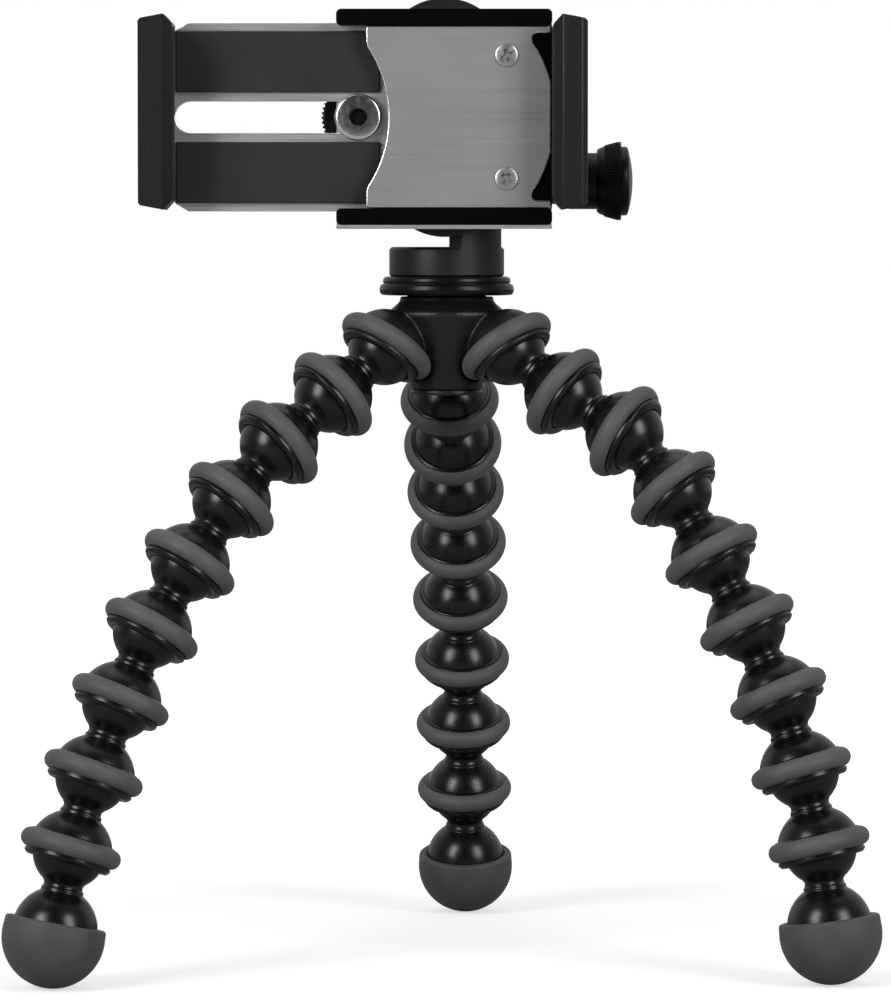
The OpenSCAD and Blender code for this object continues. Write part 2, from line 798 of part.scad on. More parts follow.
module jaw_pad(x, side) {
    y1 = jaw_front_y + bevel_len + jaw_edge;
    step = (rail_front_y - jaw_edge - y1) / (pad_grooves + 1);
    color("dimgray") difference() {
        jaw_pad_block(x, side, 0);
        for (i = [1 : pad_grooves])
            at_hub(holder_z + jaw_rise - jaw_h / 2)
                translate([x - side * jaw_pad_proud, y1 + i * step, 0])
                    cylinder(r = pad_groove_r, h = jaw_h, $fn = few_facets);
    }
}

module fixed_jaw() {
    color("dimgray") jaw(jaw_right_x, 1, wall_front_y, wall_y);
}

module fixed_jaw_pad() {
    jaw_pad(jaw_right_x, 1);
}

module moving_jaw() {
    color("dimgray") difference() {
        jaw(jaw_left_x, -1, slide_pad_y, slide_y);
        for (s = [-1, 1]) facing(jaw_left_x - rivet_x, jaw_rise + s * rivet_h / 2, slide_pad_y - rivet_r)
            cylinder(r = rivet_r + seat_gap, h = bracket_offset);
    }
}

module moving_jaw_pad() {
    jaw_pad(jaw_left_x, -1);
}

module jaw_rivets() {
    color("silver") for (s = [-1, 1])
        facing(jaw_left_x - rivet_x, jaw_rise + s * rivet_h / 2, slide_pad_y - rivet_r + seat_gap) {
            reach = wall_y - slide_pad_y + rivet_r;
            cylinder(r = rivet_r, h = reach);
            translate([0, 0, reach]) cylinder(r1 = rivet_head_r, r2 = rivet_r, h = rivet_head_t);
        }
}

module slide_plate() {
    color("lightgray") slab(slide_pad_y, slide_y) difference() {
        union() {
            polygon([
                [jaw_left_x, -pad_outer_h / 2],
                [jaw_left_x + slide_cut, -slide_h / 2],
                [slide_end_x, -slide_h / 2],
                [slide_end_x, slide_h / 2],
                [jaw_left_x + slide_cut, slide_h / 2],
                [jaw_left_x, pad_outer_h / 2]
            ]);
            translate([jaw_left_x - tongue_len, jaw_rise - tongue_h / 2]) square([2 * tongue_len, tongue_h]);
        }
        translate([slot_left_x + slot_h / 2, -slot_h / 2])
            square([slot_right_x - slot_left_x - slot_h, slot_h]);
        for (x = [slot_left_x + slot_h / 2, slot_right_x - slot_h / 2]) translate([x, 0]) circle(slot_h / 2);
        for (s = [-1, 1]) translate([jaw_left_x - rivet_x, jaw_rise + s * rivet_h / 2])
            circle(rivet_r + seat_gap);
    }
}

module slide_pads() {
    low = pad_inner_h / 2;
    high = pad_outer_h / 2;
    color("dimgray") for (s = [-1, 1])
        slab(slide_pad_y - slide_pad_t, slide_pad_y - seat_gap)
            translate([jaw_left_x + pad_edge, s > 0 ? low : -high])
                square([slide_end_x - jaw_left_x - pad_edge - strip_short, high - low]);
}

module clamp_bolt() {
    head_y = slide_pad_y - head_gap;
    color("silver") facing(-bolt_x, 0, head_y) difference() {
        union() {
            translate([0, 0, -head_t + head_edge]) cylinder(r = bolt_head_r, h = head_t - head_edge);
            translate([0, 0, -head_t])
                cylinder(r1 = bolt_head_r - head_edge, r2 = bolt_head_r, h = head_edge);
            cylinder(r = guide_r, h = wall_front_y - head_y - seat_gap);
            cylinder(r = bolt_r, h = wheel_y + wheel_w + bolt_tail - head_y);
        }
        translate([0, 0, -head_t - overrun])
            cylinder(r = socket_hex_r, h = socket_depth + overrun, $fn = hex);
    }
}

module thumbwheel() {
    color("black") facing(-bolt_x, 0, wheel_y) difference() {
        union() {
            cylinder(r = wheel_r, h = wheel_w);
            translate([0, 0, wall_y + face_gap - wheel_y])
                cylinder(r = wheel_boss_r, h = wheel_y - wall_y - face_gap + wheel_w / 2);
        }
        translate([0, 0, wall_y - wheel_y])
            cylinder(r = bolt_r + run_gap, h = wheel_y - wall_y + wheel_w + overrun);
        translate([0, 0, wheel_w - wheel_nut_h])
            cylinder(r = wheel_nut_r + seat_gap, h = wheel_nut_h + overrun, $fn = hex);
        for (i = [0 : wheel_ribs - 1]) rotate([0, 0, i * full_turn / wheel_ribs])
            translate([wheel_r, 0, -overrun])
                cylinder(r = rib_cut_r, h = wheel_w + 2 * overrun, $fn = few_facets);
    }
}

module wheel_nut() {
    color("silver") facing(-bolt_x, 0, wheel_y + wheel_w - wheel_nut_h + seat_gap) difference() {
        cylinder(r = wheel_nut_r, h = wheel_nut_h - seat_gap, $fn = hex);
        translate([0, 0, -overrun]) cylinder(r = bolt_r + run_gap, h = wheel_nut_h + 2 * overrun);
    }
}

hub_shell();
hub_socket_rings();
hub_base_cap();
camera_screw();
lock_ring();
base_post();
thread_insert();
base_pad();
tilt_screw();
knob_grip();
knob_cap();
hinge_bracket();
bracket_screws();
hinge_nut();
back_shell();
rail(1);  // top_rail
rail(-1);  // bottom_rail
core_plate();
front_plate();
plate_screws();
fixed_jaw();
fixed_jaw_pad();
clamp_bolt();
slide_plate();
slide_pads();
moving_jaw();
moving_jaw_pad();
jaw_rivets();
thumbwheel();
wheel_nut();
for (k = [0 : 2], i = [1 : link_count])
    leg_link(k, i);
for (k = [0 : 2])
    leg_foot_ball(k);
for (k = [0 : 2])
    leg_foot(k);
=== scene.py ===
# Phone tripod: black ball-and-socket legs, a small pan and tilt head and a sliding phone clamp.
import bpy
import bmesh
import math
from mathutils import Matrix, Vector


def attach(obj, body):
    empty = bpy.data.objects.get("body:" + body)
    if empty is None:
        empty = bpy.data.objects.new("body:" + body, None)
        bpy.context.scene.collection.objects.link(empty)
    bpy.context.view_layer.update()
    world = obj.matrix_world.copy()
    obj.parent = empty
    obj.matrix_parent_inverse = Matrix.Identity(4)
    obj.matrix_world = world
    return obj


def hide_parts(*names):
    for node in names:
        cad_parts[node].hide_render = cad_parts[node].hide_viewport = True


mm = 0.001     # the sizes below are in millimetres and the angles in degrees
snug = 0.04    # gap between two pieces that sit on each other
overshoot = 1.0   # how far a cutter stands out of the face that it cuts
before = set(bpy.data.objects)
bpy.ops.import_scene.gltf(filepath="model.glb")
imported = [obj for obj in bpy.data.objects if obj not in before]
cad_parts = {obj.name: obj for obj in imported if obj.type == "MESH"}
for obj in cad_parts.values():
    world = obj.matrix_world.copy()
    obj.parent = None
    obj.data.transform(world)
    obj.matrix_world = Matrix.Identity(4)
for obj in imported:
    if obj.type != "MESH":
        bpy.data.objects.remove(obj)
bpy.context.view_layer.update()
print("frame loaded:", len(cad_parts), "nodes")

legSizes = {
    "pitch": 18.15, "ballR": 8.6, "domeR": 9.9, "cavityR": 8.7, "turn": -0.4, "segments": 96,
    "neckR": 4.5, "neckMeet": 4, "neckSwell": 0.05, "neckLow": 0.7, "neckRound": 0.6,
    "collarR": 4.98, "collarLow": -9.5, "collarEase": 0.5, "collarBack": 0.1,
    "seatR": 10.1, "seatBack": -3.15, "seatMeet": 1.5, "stepIn": 0.35, "stepBack": 0.25,
    "lipBase": 1.6, "lipR": 10.3, "lipReach": 2.9, "lipChamfer": 0.7,
    "lipRounds": [0.12, 0.1, 0.12, 0.35, 0.3, 0.2], "mouthFlat": 0.25, "mouthDrop": 0.3, "mouthMeet": 3,
    "ringR": 12.0, "ringBack": 0.9, "ringW": 4.5, "ringMeet": 6, "ringEdge": 0.16,
    "ballSteps": 30, "domeSteps": 20, "cavitySteps": 22, "ringSteps": 18,
}
legNames = ["left", "right", "rear"]
legAzimuths = [210, 330, 90]
legSwings = [-1.3, 5.8, -2.7]
legSlopes = [   # the hub's socket, eight links and the foot, from straight down
    [37, 52.5, 52.3, 43.1, 36.5, 32.8, 25.9, 22.2, 18.6, 12.2],
    [37, 55, 59.9, 42.4, 32, 29.5, 25.5, 18.2, 14.2, 8],
    [37, 40.2, 52.8, 47.4, 41.8, 36.4, 27, 21.2, 17.9, 12.8],
]
footIndex = 9
footSizes = {
    "footR": 12.0, "reach": 1.8, "rimR": 11.8, "rimBack": 1.6, "rimRounds": [0.6, 1.3], "rimStep": 0.25,
    "rimFlat": 0.3, "soleShare": 0.55, "cupArc": (65, -4), "pegR": 4.2, "pegLen": 1.9, "pegEase": 0.3,
    "skinStart": -18, "soleSteps": 40, "cupSteps": 22, "skinSteps": 36, "segments": 128,
}


def chainPoint(slopes, count):  # distance outwards and height of a link's socket, from the hub's socket
    x, z = 0.0, 0.0
    for slope in slopes[1:count + 1]:
        x += legSizes["pitch"] * math.sin(math.radians(slope))
        z -= legSizes["pitch"] * math.cos(math.radians(slope))
    return x, z


def footPoint(slopes):
    x, z = chainPoint(slopes, footIndex)
    lean = math.radians(slopes[footIndex])
    return x + footSizes["reach"] * math.sin(lean), z - footSizes["reach"] * math.cos(lean)


hubSizes = {"socketR": 17.0, "neckH": 12.4, "lockH": 4.0, "gap": 0.3, "tiltH": 22.9, "holderRise": 14.8}
hubSizes["socketZ"] = footSizes["footR"] - min(footPoint(slopes)[1] for slopes in legSlopes)


def legTurn(leg, index):  # angle round the hub; past its socket a leg also swings sideways
    return math.radians(legAzimuths[leg] + legSizes["turn"] + (legSwings[leg] if index > 0 else 0))


def socketSpot(leg):
    angle = legTurn(leg, 0)
    return hubSizes["socketR"] * math.cos(angle), hubSizes["socketR"] * math.sin(angle)


footSpots = []
for leg, slopes in enumerate(legSlopes):
    reach, angle, start = footPoint(slopes)[0], legTurn(leg, 1), socketSpot(leg)
    footSpots.append((start[0] + reach * math.cos(angle), start[1] + reach * math.sin(angle)))
hubX, hubY = (-(max(side) + min(side)) / 2 for side in zip(*footSpots))   # the feet stand round the middle
lockZ = hubSizes["socketZ"] + hubSizes["neckH"] + hubSizes["gap"]
baseZ = lockZ + hubSizes["lockH"] + hubSizes["gap"]
tiltZ = baseZ + hubSizes["tiltH"]
holderZ = tiltZ + hubSizes["holderRise"]

# camera, at the photograph's angle
cameraSizes = {"distance": 1400.0, "eyeZ": 175.8, "pitch": 2.656, "aside": -0.29, "lens": 211.1, "sensor": 36,
               "nearest": 50.0, "farthest": 20000.0}
cameraData = bpy.data.cameras.new("photoCamera")
cameraData.sensor_width = cameraSizes["sensor"]
cameraData.lens = cameraSizes["lens"]
cameraData.clip_start, cameraData.clip_end = cameraSizes["nearest"] * mm, cameraSizes["farthest"] * mm
camera = bpy.data.objects.new("photoCamera", cameraData)
bpy.context.scene.collection.objects.link(camera)
camera.location = ((hubX + cameraSizes["aside"]) * mm, (hubY - cameraSizes["distance"]) * mm,
                   cameraSizes["eyeZ"] * mm)
camera.rotation_euler = (math.radians(90 - cameraSizes["pitch"]), 0, 0)
bpy.context.scene.camera = camera
bpy.context.scene.view_settings.view_transform = "Standard"

# small makers for outlines and meshes
meshSizes = {
    "onAxis": 1e-4,      # a smaller radius lies on the axis
    "edgeShare": 0.49,   # the most that a corner's curve takes of an edge
    "merge": 1e-7, "cadMerge": 2e-6,   # metres
    "cadFlat": 0.6, "bevelFrom": 30,   # degrees
    "smoothing": 0.5,
    "wideFace": 25.0,    # square millimetres
}


def halfChord(radius, away):  # half the width of a circle at a distance from its middle
    return math.sqrt(max(0.0, radius ** 2 - away ** 2))


def arcPoints(centreR, centreZ, radius, start, end, steps):  # from +r towards +z
    out = []
    for i in range(steps + 1):
        a = math.radians(start + (end - start) * i / steps)
        out.append((centreR + radius * math.cos(a), centreZ + radius * math.sin(a)))
    return out


def cornerCurve(here, before, after, cuts, steps):  # cuts both edges and curves from one to the other
    a, b = here + before.normalized() * cuts[0], here + after.normalized() * cuts[1]
    shares = [s / steps for s in range(steps + 1)]
    return [tuple((1 - t) ** 2 * a + 2 * t * (1 - t) * here + t * t * b) for t in shares]


def roundedProfile(points, rounds, steps=4):  # an open line of (r, z) whose inner corners get these radii
    out = [points[0]]
    for i, radius in enumerate(rounds, 1):
        here = Vector(points[i])
        before, after = Vector(points[i - 1]) - here, Vector(points[i + 1]) - here
        if radius > 0:
            most = min(before.length, after.length) * meshSizes["edgeShare"]
            cut = min(radius / math.tan(before.angle(after) / 2), most)
            out += cornerCurve(here, before, after, (cut, cut), steps)
        else:
            out.append(points[i])
    return out + [points[-1]]


def easedOutline(corners, steps=8):  # a closed line of (x, z, ease) corners
    out = []
    for i, (x, z, ease) in enumerate(corners):
        here = Vector((x, z))
        before = Vector(corners[i - 1][:2]) - here
        after = Vector(corners[(i + 1) % len(corners)][:2]) - here
        cuts = [min(ease, edge.length * meshSizes["edgeShare"]) for edge in (before, after)]
        out += cornerCurve(here, before, after, cuts, steps) if ease > 0 else [(x, z)]
    return out


def closedMesh(name, bm):  # doubles merged and faces turned outwards
    bmesh.ops.remove_doubles(bm, verts=bm.verts, dist=meshSizes["merge"])
    bmesh.ops.recalc_face_normals(bm, faces=bm.faces)
    mesh = bpy.data.meshes.new(name)
    bm.to_mesh(mesh)
    bm.free()
    return mesh


def circlePoints(radius, z, segments, turn=0.0):
    angles = [turn + 2 * math.pi * i / segments for i in range(segments)]
    return [(radius * mm * math.cos(a), radius * mm * math.sin(a), z * mm) for a in angles]


def latheMesh(name, profile, segments, closed=False):  # a profile of (r, z), turned round Z
    bm = bmesh.new()
    rings = []
    for r, z in profile:
        points = circlePoints(r, z, segments) if r >= meshSizes["onAxis"] else [(0, 0, z * mm)]
        rings.append([bm.verts.new(point) for point in points])
    for a, b in list(zip(rings, rings[1:])) + ([(rings[-1], rings[0])] if closed else []):
        for i in range(segments):
            j = (i + 1) % segments
            corners = dict.fromkeys((a[i % len(a)], a[j % len(a)], b[j % len(b)], b[i % len(b)]))
            if len(corners) > 2:
                bm.faces.new(list(corners))
    return closedMesh(name, bm)


def rowsMesh(name, rows):  # rows of points, each joined to the next, with a face over both ends
    bm = bmesh.new()
    rows = [[bm.verts.new(point) for point in row] for row in rows]
    for a, b in zip(rows, rows[1:]):
        for i in range(len(a)):
            j = (i + 1) % len(a)
            bm.faces.new((a[i], a[j], b[j], b[i]))
    bm.faces.new(rows[0])
    bm.faces.new(rows[-1])
    return closedMesh(name, bm)


def newObject(name, mesh):
    obj = bpy.data.objects.new(name, mesh)
    bpy.context.scene.collection.objects.link(obj)
    return obj


def prong(name, sides, radius, low, high, turn=0.0, flare=1.0):  # a cutter along +Z
    rows = [circlePoints(radius * flare, low, sides, turn), circlePoints(radius, high, sides, turn)]
    return newObject(name, rowsMesh(name, rows))


def evaluatedCopy(obj, name):  # the result of an object's modifiers, as a plain mesh on a new object
    graph = bpy.context.evaluated_depsgraph_get()
    mesh = bpy.data.meshes.new_from_object(obj.evaluated_get(graph), depsgraph=graph)
    mesh.name = name
    source = obj.data
    bpy.data.objects.remove(obj)
    if source.users == 0:
        bpy.data.meshes.remove(source)
    return newObject(name, mesh)


def bevelled(obj, width, steps, name, miter="MITER_SHARP"):
    bevel = obj.modifiers.new("edges", "BEVEL")
    bevel.width = width * mm
    bevel.segments = steps
    bevel.limit_method = "ANGLE"
    bevel.angle_limit = math.radians(meshSizes["bevelFrom"])
    bevel.use_clamp_overlap = True
    bevel.miter_outer = miter
    return evaluatedCopy(obj, name)


def carved(obj, cutters, name):  # an object less the forms of the cutters
    for cutter in cutters:
        cut = obj.modifiers.new("cut", "BOOLEAN")
        cut.operation = "DIFFERENCE"
        cut.solver = "EXACT"
        cut.object = cutter
    bpy.context.view_layer.update()
    out = evaluatedCopy(obj, name)
    for cutter in cutters:
        bpy.data.objects.remove(cutter)
    return out


def addSmooth(obj, rounds, group=""):
    smooth = obj.modifiers.new("smooth", "SMOOTH")
    smooth.factor = meshSizes["smoothing"]
    smooth.iterations = rounds
    smooth.vertex_group = group


def mergedCopy(node):  # a CAD node's mesh with its loose triangles joined and its flat faces whole
    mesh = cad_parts[node].data.copy()
    bm = bmesh.new()
    bm.from_mesh(mesh)
    bmesh.ops.remove_doubles(bm, verts=bm.verts, dist=meshSizes["cadMerge"])
    flat = math.radians(meshSizes["cadFlat"])
    bmesh.ops.dissolve_limit(bm, angle_limit=flat, verts=bm.verts, edges=bm.edges)
    bm.to_mesh(mesh)
    bm.free()
    return mesh


def softenedNode(node, name, width, steps=3):  # a CAD solid with its edges rounded
    return bevelled(newObject(name, mergedCopy(node)), width, steps, name, "MITER_ARC")


def finishPiece(obj, body, nodes, material=None, angle=35):
    if material is not None:
        obj.data.materials.clear()
        obj.data.materials.append(material)
    obj.data.shade_smooth()
    obj.data.set_sharp_from_angle(angle=math.radians(angle))
    for face in obj.data.polygons:   # a wide face stays flat, so that its rounded edges don't tint it
        if face.area > meshSizes["wideFace"] * mm ** 2:
            face.use_smooth = False
    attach(obj, body)
    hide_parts(*nodes)


# where things stand
def atHub(z):
    return Matrix.Translation((hubX * mm, hubY * mm, z * mm))


def alongTilt(x):  # turns +Z onto the tilt axis, from the hub's axis
    spot = ((hubX + x) * mm, hubY * mm, tiltZ * mm)
    return Matrix.Translation(spot) @ Matrix.Rotation(math.radians(90), 4, "Y")


def inClamp(x, y, z):  # from the hub's axis and the clamp's middle height
    return Vector(((hubX + x) * mm, (hubY + y) * mm, (holderZ + z) * mm))


def facing(x, y, z):  # turns +Z to the back, at a spot of the clamp
    return Matrix.Translation(inClamp(x, y, z)) @ Matrix.Rotation(math.radians(-90), 4, "X")


# materials
def addNode(tree, kind, values, operation=None):  # the inputs' values, or the outputs that feed them
    node = tree.nodes.new(kind)
    if operation is not None:
        node.operation = operation
    for socket, value in values.items():
        if isinstance(value, bpy.types.NodeSocket):
            tree.links.new(value, node.inputs[socket])
        else:
            node.inputs[socket].default_value = value
    return node


def addNoise(tree, coords, scale, detail, stretch=(1, 1, 1)):
    mapping = addNode(tree, "ShaderNodeMapping", {"Vector": coords, "Scale": stretch})
    noise = addNode(tree, "ShaderNodeTexNoise", {
        "Vector": mapping.outputs["Vector"], "Scale": scale, "Detail": detail})
    return noise.outputs["Fac"]


def addRange(tree, source, low, high, start=0.3, end=0.7):  # from the middle of a noise, or from start to end
    spread = addNode(tree, "ShaderNodeMapRange", {
        "Value": source, "From Min": start, "From Max": end, "To Min": low, "To Max": high})
    return spread.outputs["Result"]


def cloudyMaterial(name, colour, skin):  # its colour is a little uneven, in broad clouds
    material = bpy.data.materials.new(name)
    material.use_nodes = True
    material.diffuse_color = (*colour, 1)
    tree = material.node_tree
    coords = addNode(tree, "ShaderNodeTexCoord", {}).outputs["Object"]
    cloud = addNoise(tree, coords, skin["cloud"], skin["cloudDetail"], skin["cloudStretch"])
    dark, light = ([*(c * shade for c in colour), 1] for shade in (skin["dark"], skin["light"]))
    tint = addNode(tree, "ShaderNodeMix", {0: addRange(tree, cloud, 0, 1), 6: dark, 7: light})
    tint.data_type = "RGBA"
    shader = tree.nodes["Principled BSDF"]
    tree.links.new(tint.outputs[2], shader.inputs["Base Color"])
    return material, tree, coords, shader


def addRelief(tree, shader, grain, low, high, height, strength, depth):  # uneven roughness, and a bump
    tree.links.new(addRange(tree, grain, low, high), shader.inputs["Roughness"])
    bump = addNode(tree, "ShaderNodeBump", {"Height": height, "Strength": strength, "Distance": depth * mm})
    tree.links.new(bump.outputs["Normal"], shader.inputs["Normal"])


plasticSkin = {"cloud": 60, "cloudDetail": 2, "cloudStretch": (1, 1, 1), "dark": 0.82, "light": 1.16,
               "grainDetail": 4, "smoother": 0.025, "rougher": 0.03, "bump": 0.25}
rubberSkin = {"cloud": 110, "cloudDetail": 5, "cloudStretch": (1, 1, 1), "dark": 0.86, "light": 1.15,
              "grainDetail": 3, "finer": 1.7, "poreShare": 0.5, "uneven": 0.08,
              "sheen": 0.06, "gleam": 0.35, "bump": 0.4}
metalSkin = {"cloud": 45, "cloudDetail": 3, "cloudStretch": (1, 1, 1.5), "dark": 0.92, "light": 1.06,
             "scratches": 900, "scratchDetail": 6, "bump": 0.2, "depth": 0.003}


def mouldedPlastic(name, colour, rough, grain, depth, gleam):  # a moulding with a faint orange peel
    s = plasticSkin
    material, tree, coords, shader = cloudyMaterial(name, colour, s)
    fine = addNoise(tree, coords, grain, s["grainDetail"])
    addRelief(tree, shader, fine, rough - s["smoother"], rough + s["rougher"], fine, s["bump"], depth)
    shader.inputs["Specular IOR Level"].default_value = gleam
    return material


def gripRubber(name, colour, rough, grain, depth):  # matte, with pores, dusty clouds and a little sheen
    s = rubberSkin
    material, tree, coords, shader = cloudyMaterial(name, colour, s)
    pores = addNode(tree, "ShaderNodeTexVoronoi", {"Vector": coords, "Scale": grain})
    fine = addNoise(tree, coords, grain * s["finer"], s["grainDetail"])
    pits = addNode(tree, "ShaderNodeMath", {
        0: pores.outputs["Distance"], 1: s["poreShare"], 2: fine}, "MULTIPLY_ADD")
    addRelief(tree, shader, fine, rough - s["uneven"], rough + s["uneven"], pits.outputs[0], s["bump"], depth)
    shader.inputs["Sheen Weight"].default_value = s["sheen"]
    shader.inputs["Specular IOR Level"].default_value = s["gleam"]
    return material


def brushedMetal(name, colour, rough, stretch, streak, metallic):  # long fine scratches along one axis
    s = metalSkin
    material, tree, coords, shader = cloudyMaterial(name, colour, s)
    scratches = addNoise(tree, coords, s["scratches"], s["scratchDetail"], stretch)
    addRelief(tree, shader, scratches, rough - streak / 2, rough + streak, scratches, s["bump"], s["depth"])
    shader.inputs["Metallic"].default_value = metallic
    return material


plastics = {  # colour, roughness, grain, depth of the bump, gleam
    "linkBlack": ((0.0035, 0.0035, 0.0037), 0.28, 1400, 0.0004, 0.4),
    "hubBlack": ((0.0055, 0.0055, 0.0058), 0.4, 2600, 0.006, 0.4),
    "headBlack": ((0.006, 0.006, 0.0063), 0.44, 2800, 0.008, 0.4),
    "ringBlack": ((0.003, 0.003, 0.0032), 0.3, 2600, 0.003, 0.22),
    "railBlack": ((0.001, 0.001, 0.001), 0.42, 2600, 0.005, 0.06),
    "knobBlack": ((0.002, 0.002, 0.0021), 0.34, 2600, 0.006, 0.18),
    # painted shade: a dark finish for the insides of the screw recesses and the bolt's socket
    "recessDark": ((0.004, 0.0038, 0.0037), 0.6, 2600, 0.003, 0.08),
}
rubbers = {  # colour, roughness, grain, depth of the bump
    "jawBlack": ((0.0045, 0.0047, 0.005), 0.46, 2200, 0.02),
    "stripGrey": ((0.0165, 0.0168, 0.0172), 0.5, 1900, 0.012),
    "ringGrey": ((0.08, 0.081, 0.08), 0.58, 1500, 0.008),
    "footGrey": ((0.062, 0.0625, 0.061), 0.6, 1300, 0.025),
    "padBlack": ((0.018, 0.018, 0.019), 0.7, 1500, 0.03),
}
metals = {  # colour, roughness, stretch of the scratches, streak, metallic
    "slideSteel": ((0.78, 0.78, 0.77), 0.36, (0.03, 4, 4), 0.08, 1.0),
    "panelSteel": ((0.262, 0.262, 0.255), 0.5, (0.03, 2, 2), 0.12, 0.35),
    "edgeSteel": ((0.8, 0.8, 0.78), 0.25, (0.03, 1, 1), 0.12, 1.0),
    "screwSteel": ((0.5, 0.49, 0.475), 0.36, (1, 1, 1), 0.1, 1.0),
    "chromeSteel": ((0.85, 0.85, 0.84), 0.2, (1, 1, 1), 0.06, 1.0),
    "insertBrass": ((0.7, 0.5, 0.22), 0.3, (1, 1, 0.1), 0.12, 1.0),
}
finishes = {}
for makeFinish, kinds in ((mouldedPlastic, plastics), (gripRubber, rubbers), (brushedMetal, metals)):
    for finishName, values in kinds.items():
        finishes[finishName] = makeFinish(finishName, *values)
print("materials made")


# node trees for what repeats
def startTree(name, sockets):
    tree = bpy.data.node_groups.new(name, "GeometryNodeTree")
    tree.interface.new_socket("Geometry", in_out="INPUT", socket_type="NodeSocketGeometry")
    for label, kind in sockets.items():
        tree.interface.new_socket(label, in_out="INPUT", socket_type="NodeSocket" + kind)
    tree.interface.new_socket("Geometry", in_out="OUTPUT", socket_type="NodeSocketGeometry")
    tree.is_modifier = True
    return tree, tree.nodes.new("NodeGroupInput").outputs


def setForms(tree, points, form, rotation):  # an instance of a form on every point
    info = addNode(tree, "GeometryNodeObjectInfo", {"Object": form, "As Instance": True})
    setOn = addNode(tree, "GeometryNodeInstanceOnPoints", {
        "Points": points, "Instance": info.outputs["Geometry"], "Rotation": rotation})
    return setOn.outputs["Instances"]


def endTree(tree, given, geometry):
    realize = addNode(tree, "GeometryNodeRealizeInstances", {"Geometry": geometry})
    paint = addNode(tree, "GeometryNodeSetMaterial", {
        "Geometry": realize.outputs["Geometry"], "Material": given["Material"]})
    addNode(tree, "NodeGroupOutput", {0: paint.outputs["Geometry"]})
    return tree


def runTree(obj, tree, values, name):  # the inputs are set by their identifiers; the result is a plain mesh
    modifier = obj.modifiers.new(tree.name, "NODES")
    modifier.node_group = tree
    for socket in tree.interface.items_tree:
        if socket.in_out == "INPUT" and socket.name in values:
            modifier[socket.identifier] = values[socket.name]
    bpy.context.view_layer.update()
    return evaluatedCopy(obj, name)


def makeLinkTree():  # sets a form at a link's socket, turned to its slope and round the leg's start
    tree, given = startTree("legLink", {
        "Form": "Object", "Outwards": "Float", "Down": "Float", "Slope": "Float", "Round": "Float",
        "Start": "Vector", "Material": "Material"})
    place = addNode(tree, "ShaderNodeCombineXYZ", {"X": given["Outwards"], "Z": given["Down"]})
    spin = addNode(tree, "ShaderNodeVectorRotate", {"Vector": place.outputs[0], "Angle": given["Round"]})
    spin.rotation_type = "Z_AXIS"
    spot = addNode(tree, "ShaderNodeVectorMath", {0: spin.outputs[0], 1: given["Start"]}, "ADD")
    point = addNode(tree, "GeometryNodePoints", {"Position": spot.outputs[0]})
    lean = addNode(tree, "ShaderNodeMath", {0: math.pi, 1: given["Slope"]}, "SUBTRACT")
    turn = addNode(tree, "ShaderNodeCombineXYZ", {"Y": lean.outputs[0], "Z": given["Round"]})
    return endTree(tree, given, setForms(tree, point.outputs[0], given["Form"], turn.outputs[0]))


def makeKnurlTree():  # sets one rib's form round an axis, and keeps the body that the ribs stand on
    tree, given = startTree("knurlRibs", {"Rib": "Object", "Count": "Int", "Material": "Material"})
    points = addNode(tree, "GeometryNodePoints", {"Count": given["Count"]})
    index = addNode(tree, "GeometryNodeInputIndex", {})
    share = addNode(tree, "ShaderNodeMath", {0: index.outputs[0], 1: given["Count"]}, "DIVIDE")
    angle = addNode(tree, "ShaderNodeMath", {0: share.outputs[0], 1: 2 * math.pi}, "MULTIPLY")
    turn = addNode(tree, "ShaderNodeCombineXYZ", {"Z": angle.outputs[0]})
    ribs = setForms(tree, points.outputs[0], given["Rib"], turn.outputs[0])
    join = addNode(tree, "GeometryNodeJoinGeometry", {0: ribs})
    tree.links.new(given["Geometry"], join.inputs[0])
    return endTree(tree, given, join.outputs[0])


def makeFastenerTree():  # one fastener's form on every spot of the given mesh, each spun by chance
    tree, given = startTree("fasteners", {
        "Form": "Object", "Turn": "Vector", "Seed": "Int", "Spin": "Float", "Material": "Material"})
    fasteners = setForms(tree, given["Geometry"], given["Form"], given["Turn"])
    chance = addNode(tree, "FunctionNodeRandomValue", {3: given["Spin"], "Seed": given["Seed"]})
    spin = addNode(tree, "ShaderNodeCombineXYZ", {"Z": chance.outputs[1]})
    spun = addNode(tree, "GeometryNodeRotateInstances", {"Instances": fasteners, "Rotation": spin.outputs[0]})
    return endTree(tree, given, spun.outputs["Instances"])


linkTree, knurlTree, fastenerTree = makeLinkTree(), makeKnurlTree(), makeFastenerTree()


# legs
def linkProfile():  # from the ball's end over the neck and the collar to the dome round the socket
    s = legSizes
    ballNeck = math.degrees(math.acos(s["neckR"] / s["ballR"])) - s["neckMeet"]
    domeNeck = math.degrees(math.acos(s["neckR"] / s["domeR"])) - s["neckMeet"]
    domeSeat = math.degrees(math.asin(-s["seatBack"] / s["domeR"])) + s["seatMeet"]
    ball = arcPoints(0, -s["pitch"], s["ballR"], -90, ballNeck, s["ballSteps"])
    dome = arcPoints(0, 0, s["domeR"], -domeNeck, -domeSeat, s["domeSteps"])
    ease = s["collarEase"]
    neck = roundedProfile([
        ball[-1], (s["neckR"] + s["neckSwell"], ball[-1][1] + s["neckLow"]),
        (s["neckR"] + 2 * s["neckSwell"], s["collarLow"] - ease / 2),
        (s["collarR"], s["collarLow"] + ease / 2),
        (s["collarR"], -halfChord(s["domeR"], s["collarR"]) - s["collarBack"]), dome[0]],
        [s["neckRound"], ease, ease, ease], steps=6)
    return ball + neck[1:-1] + dome


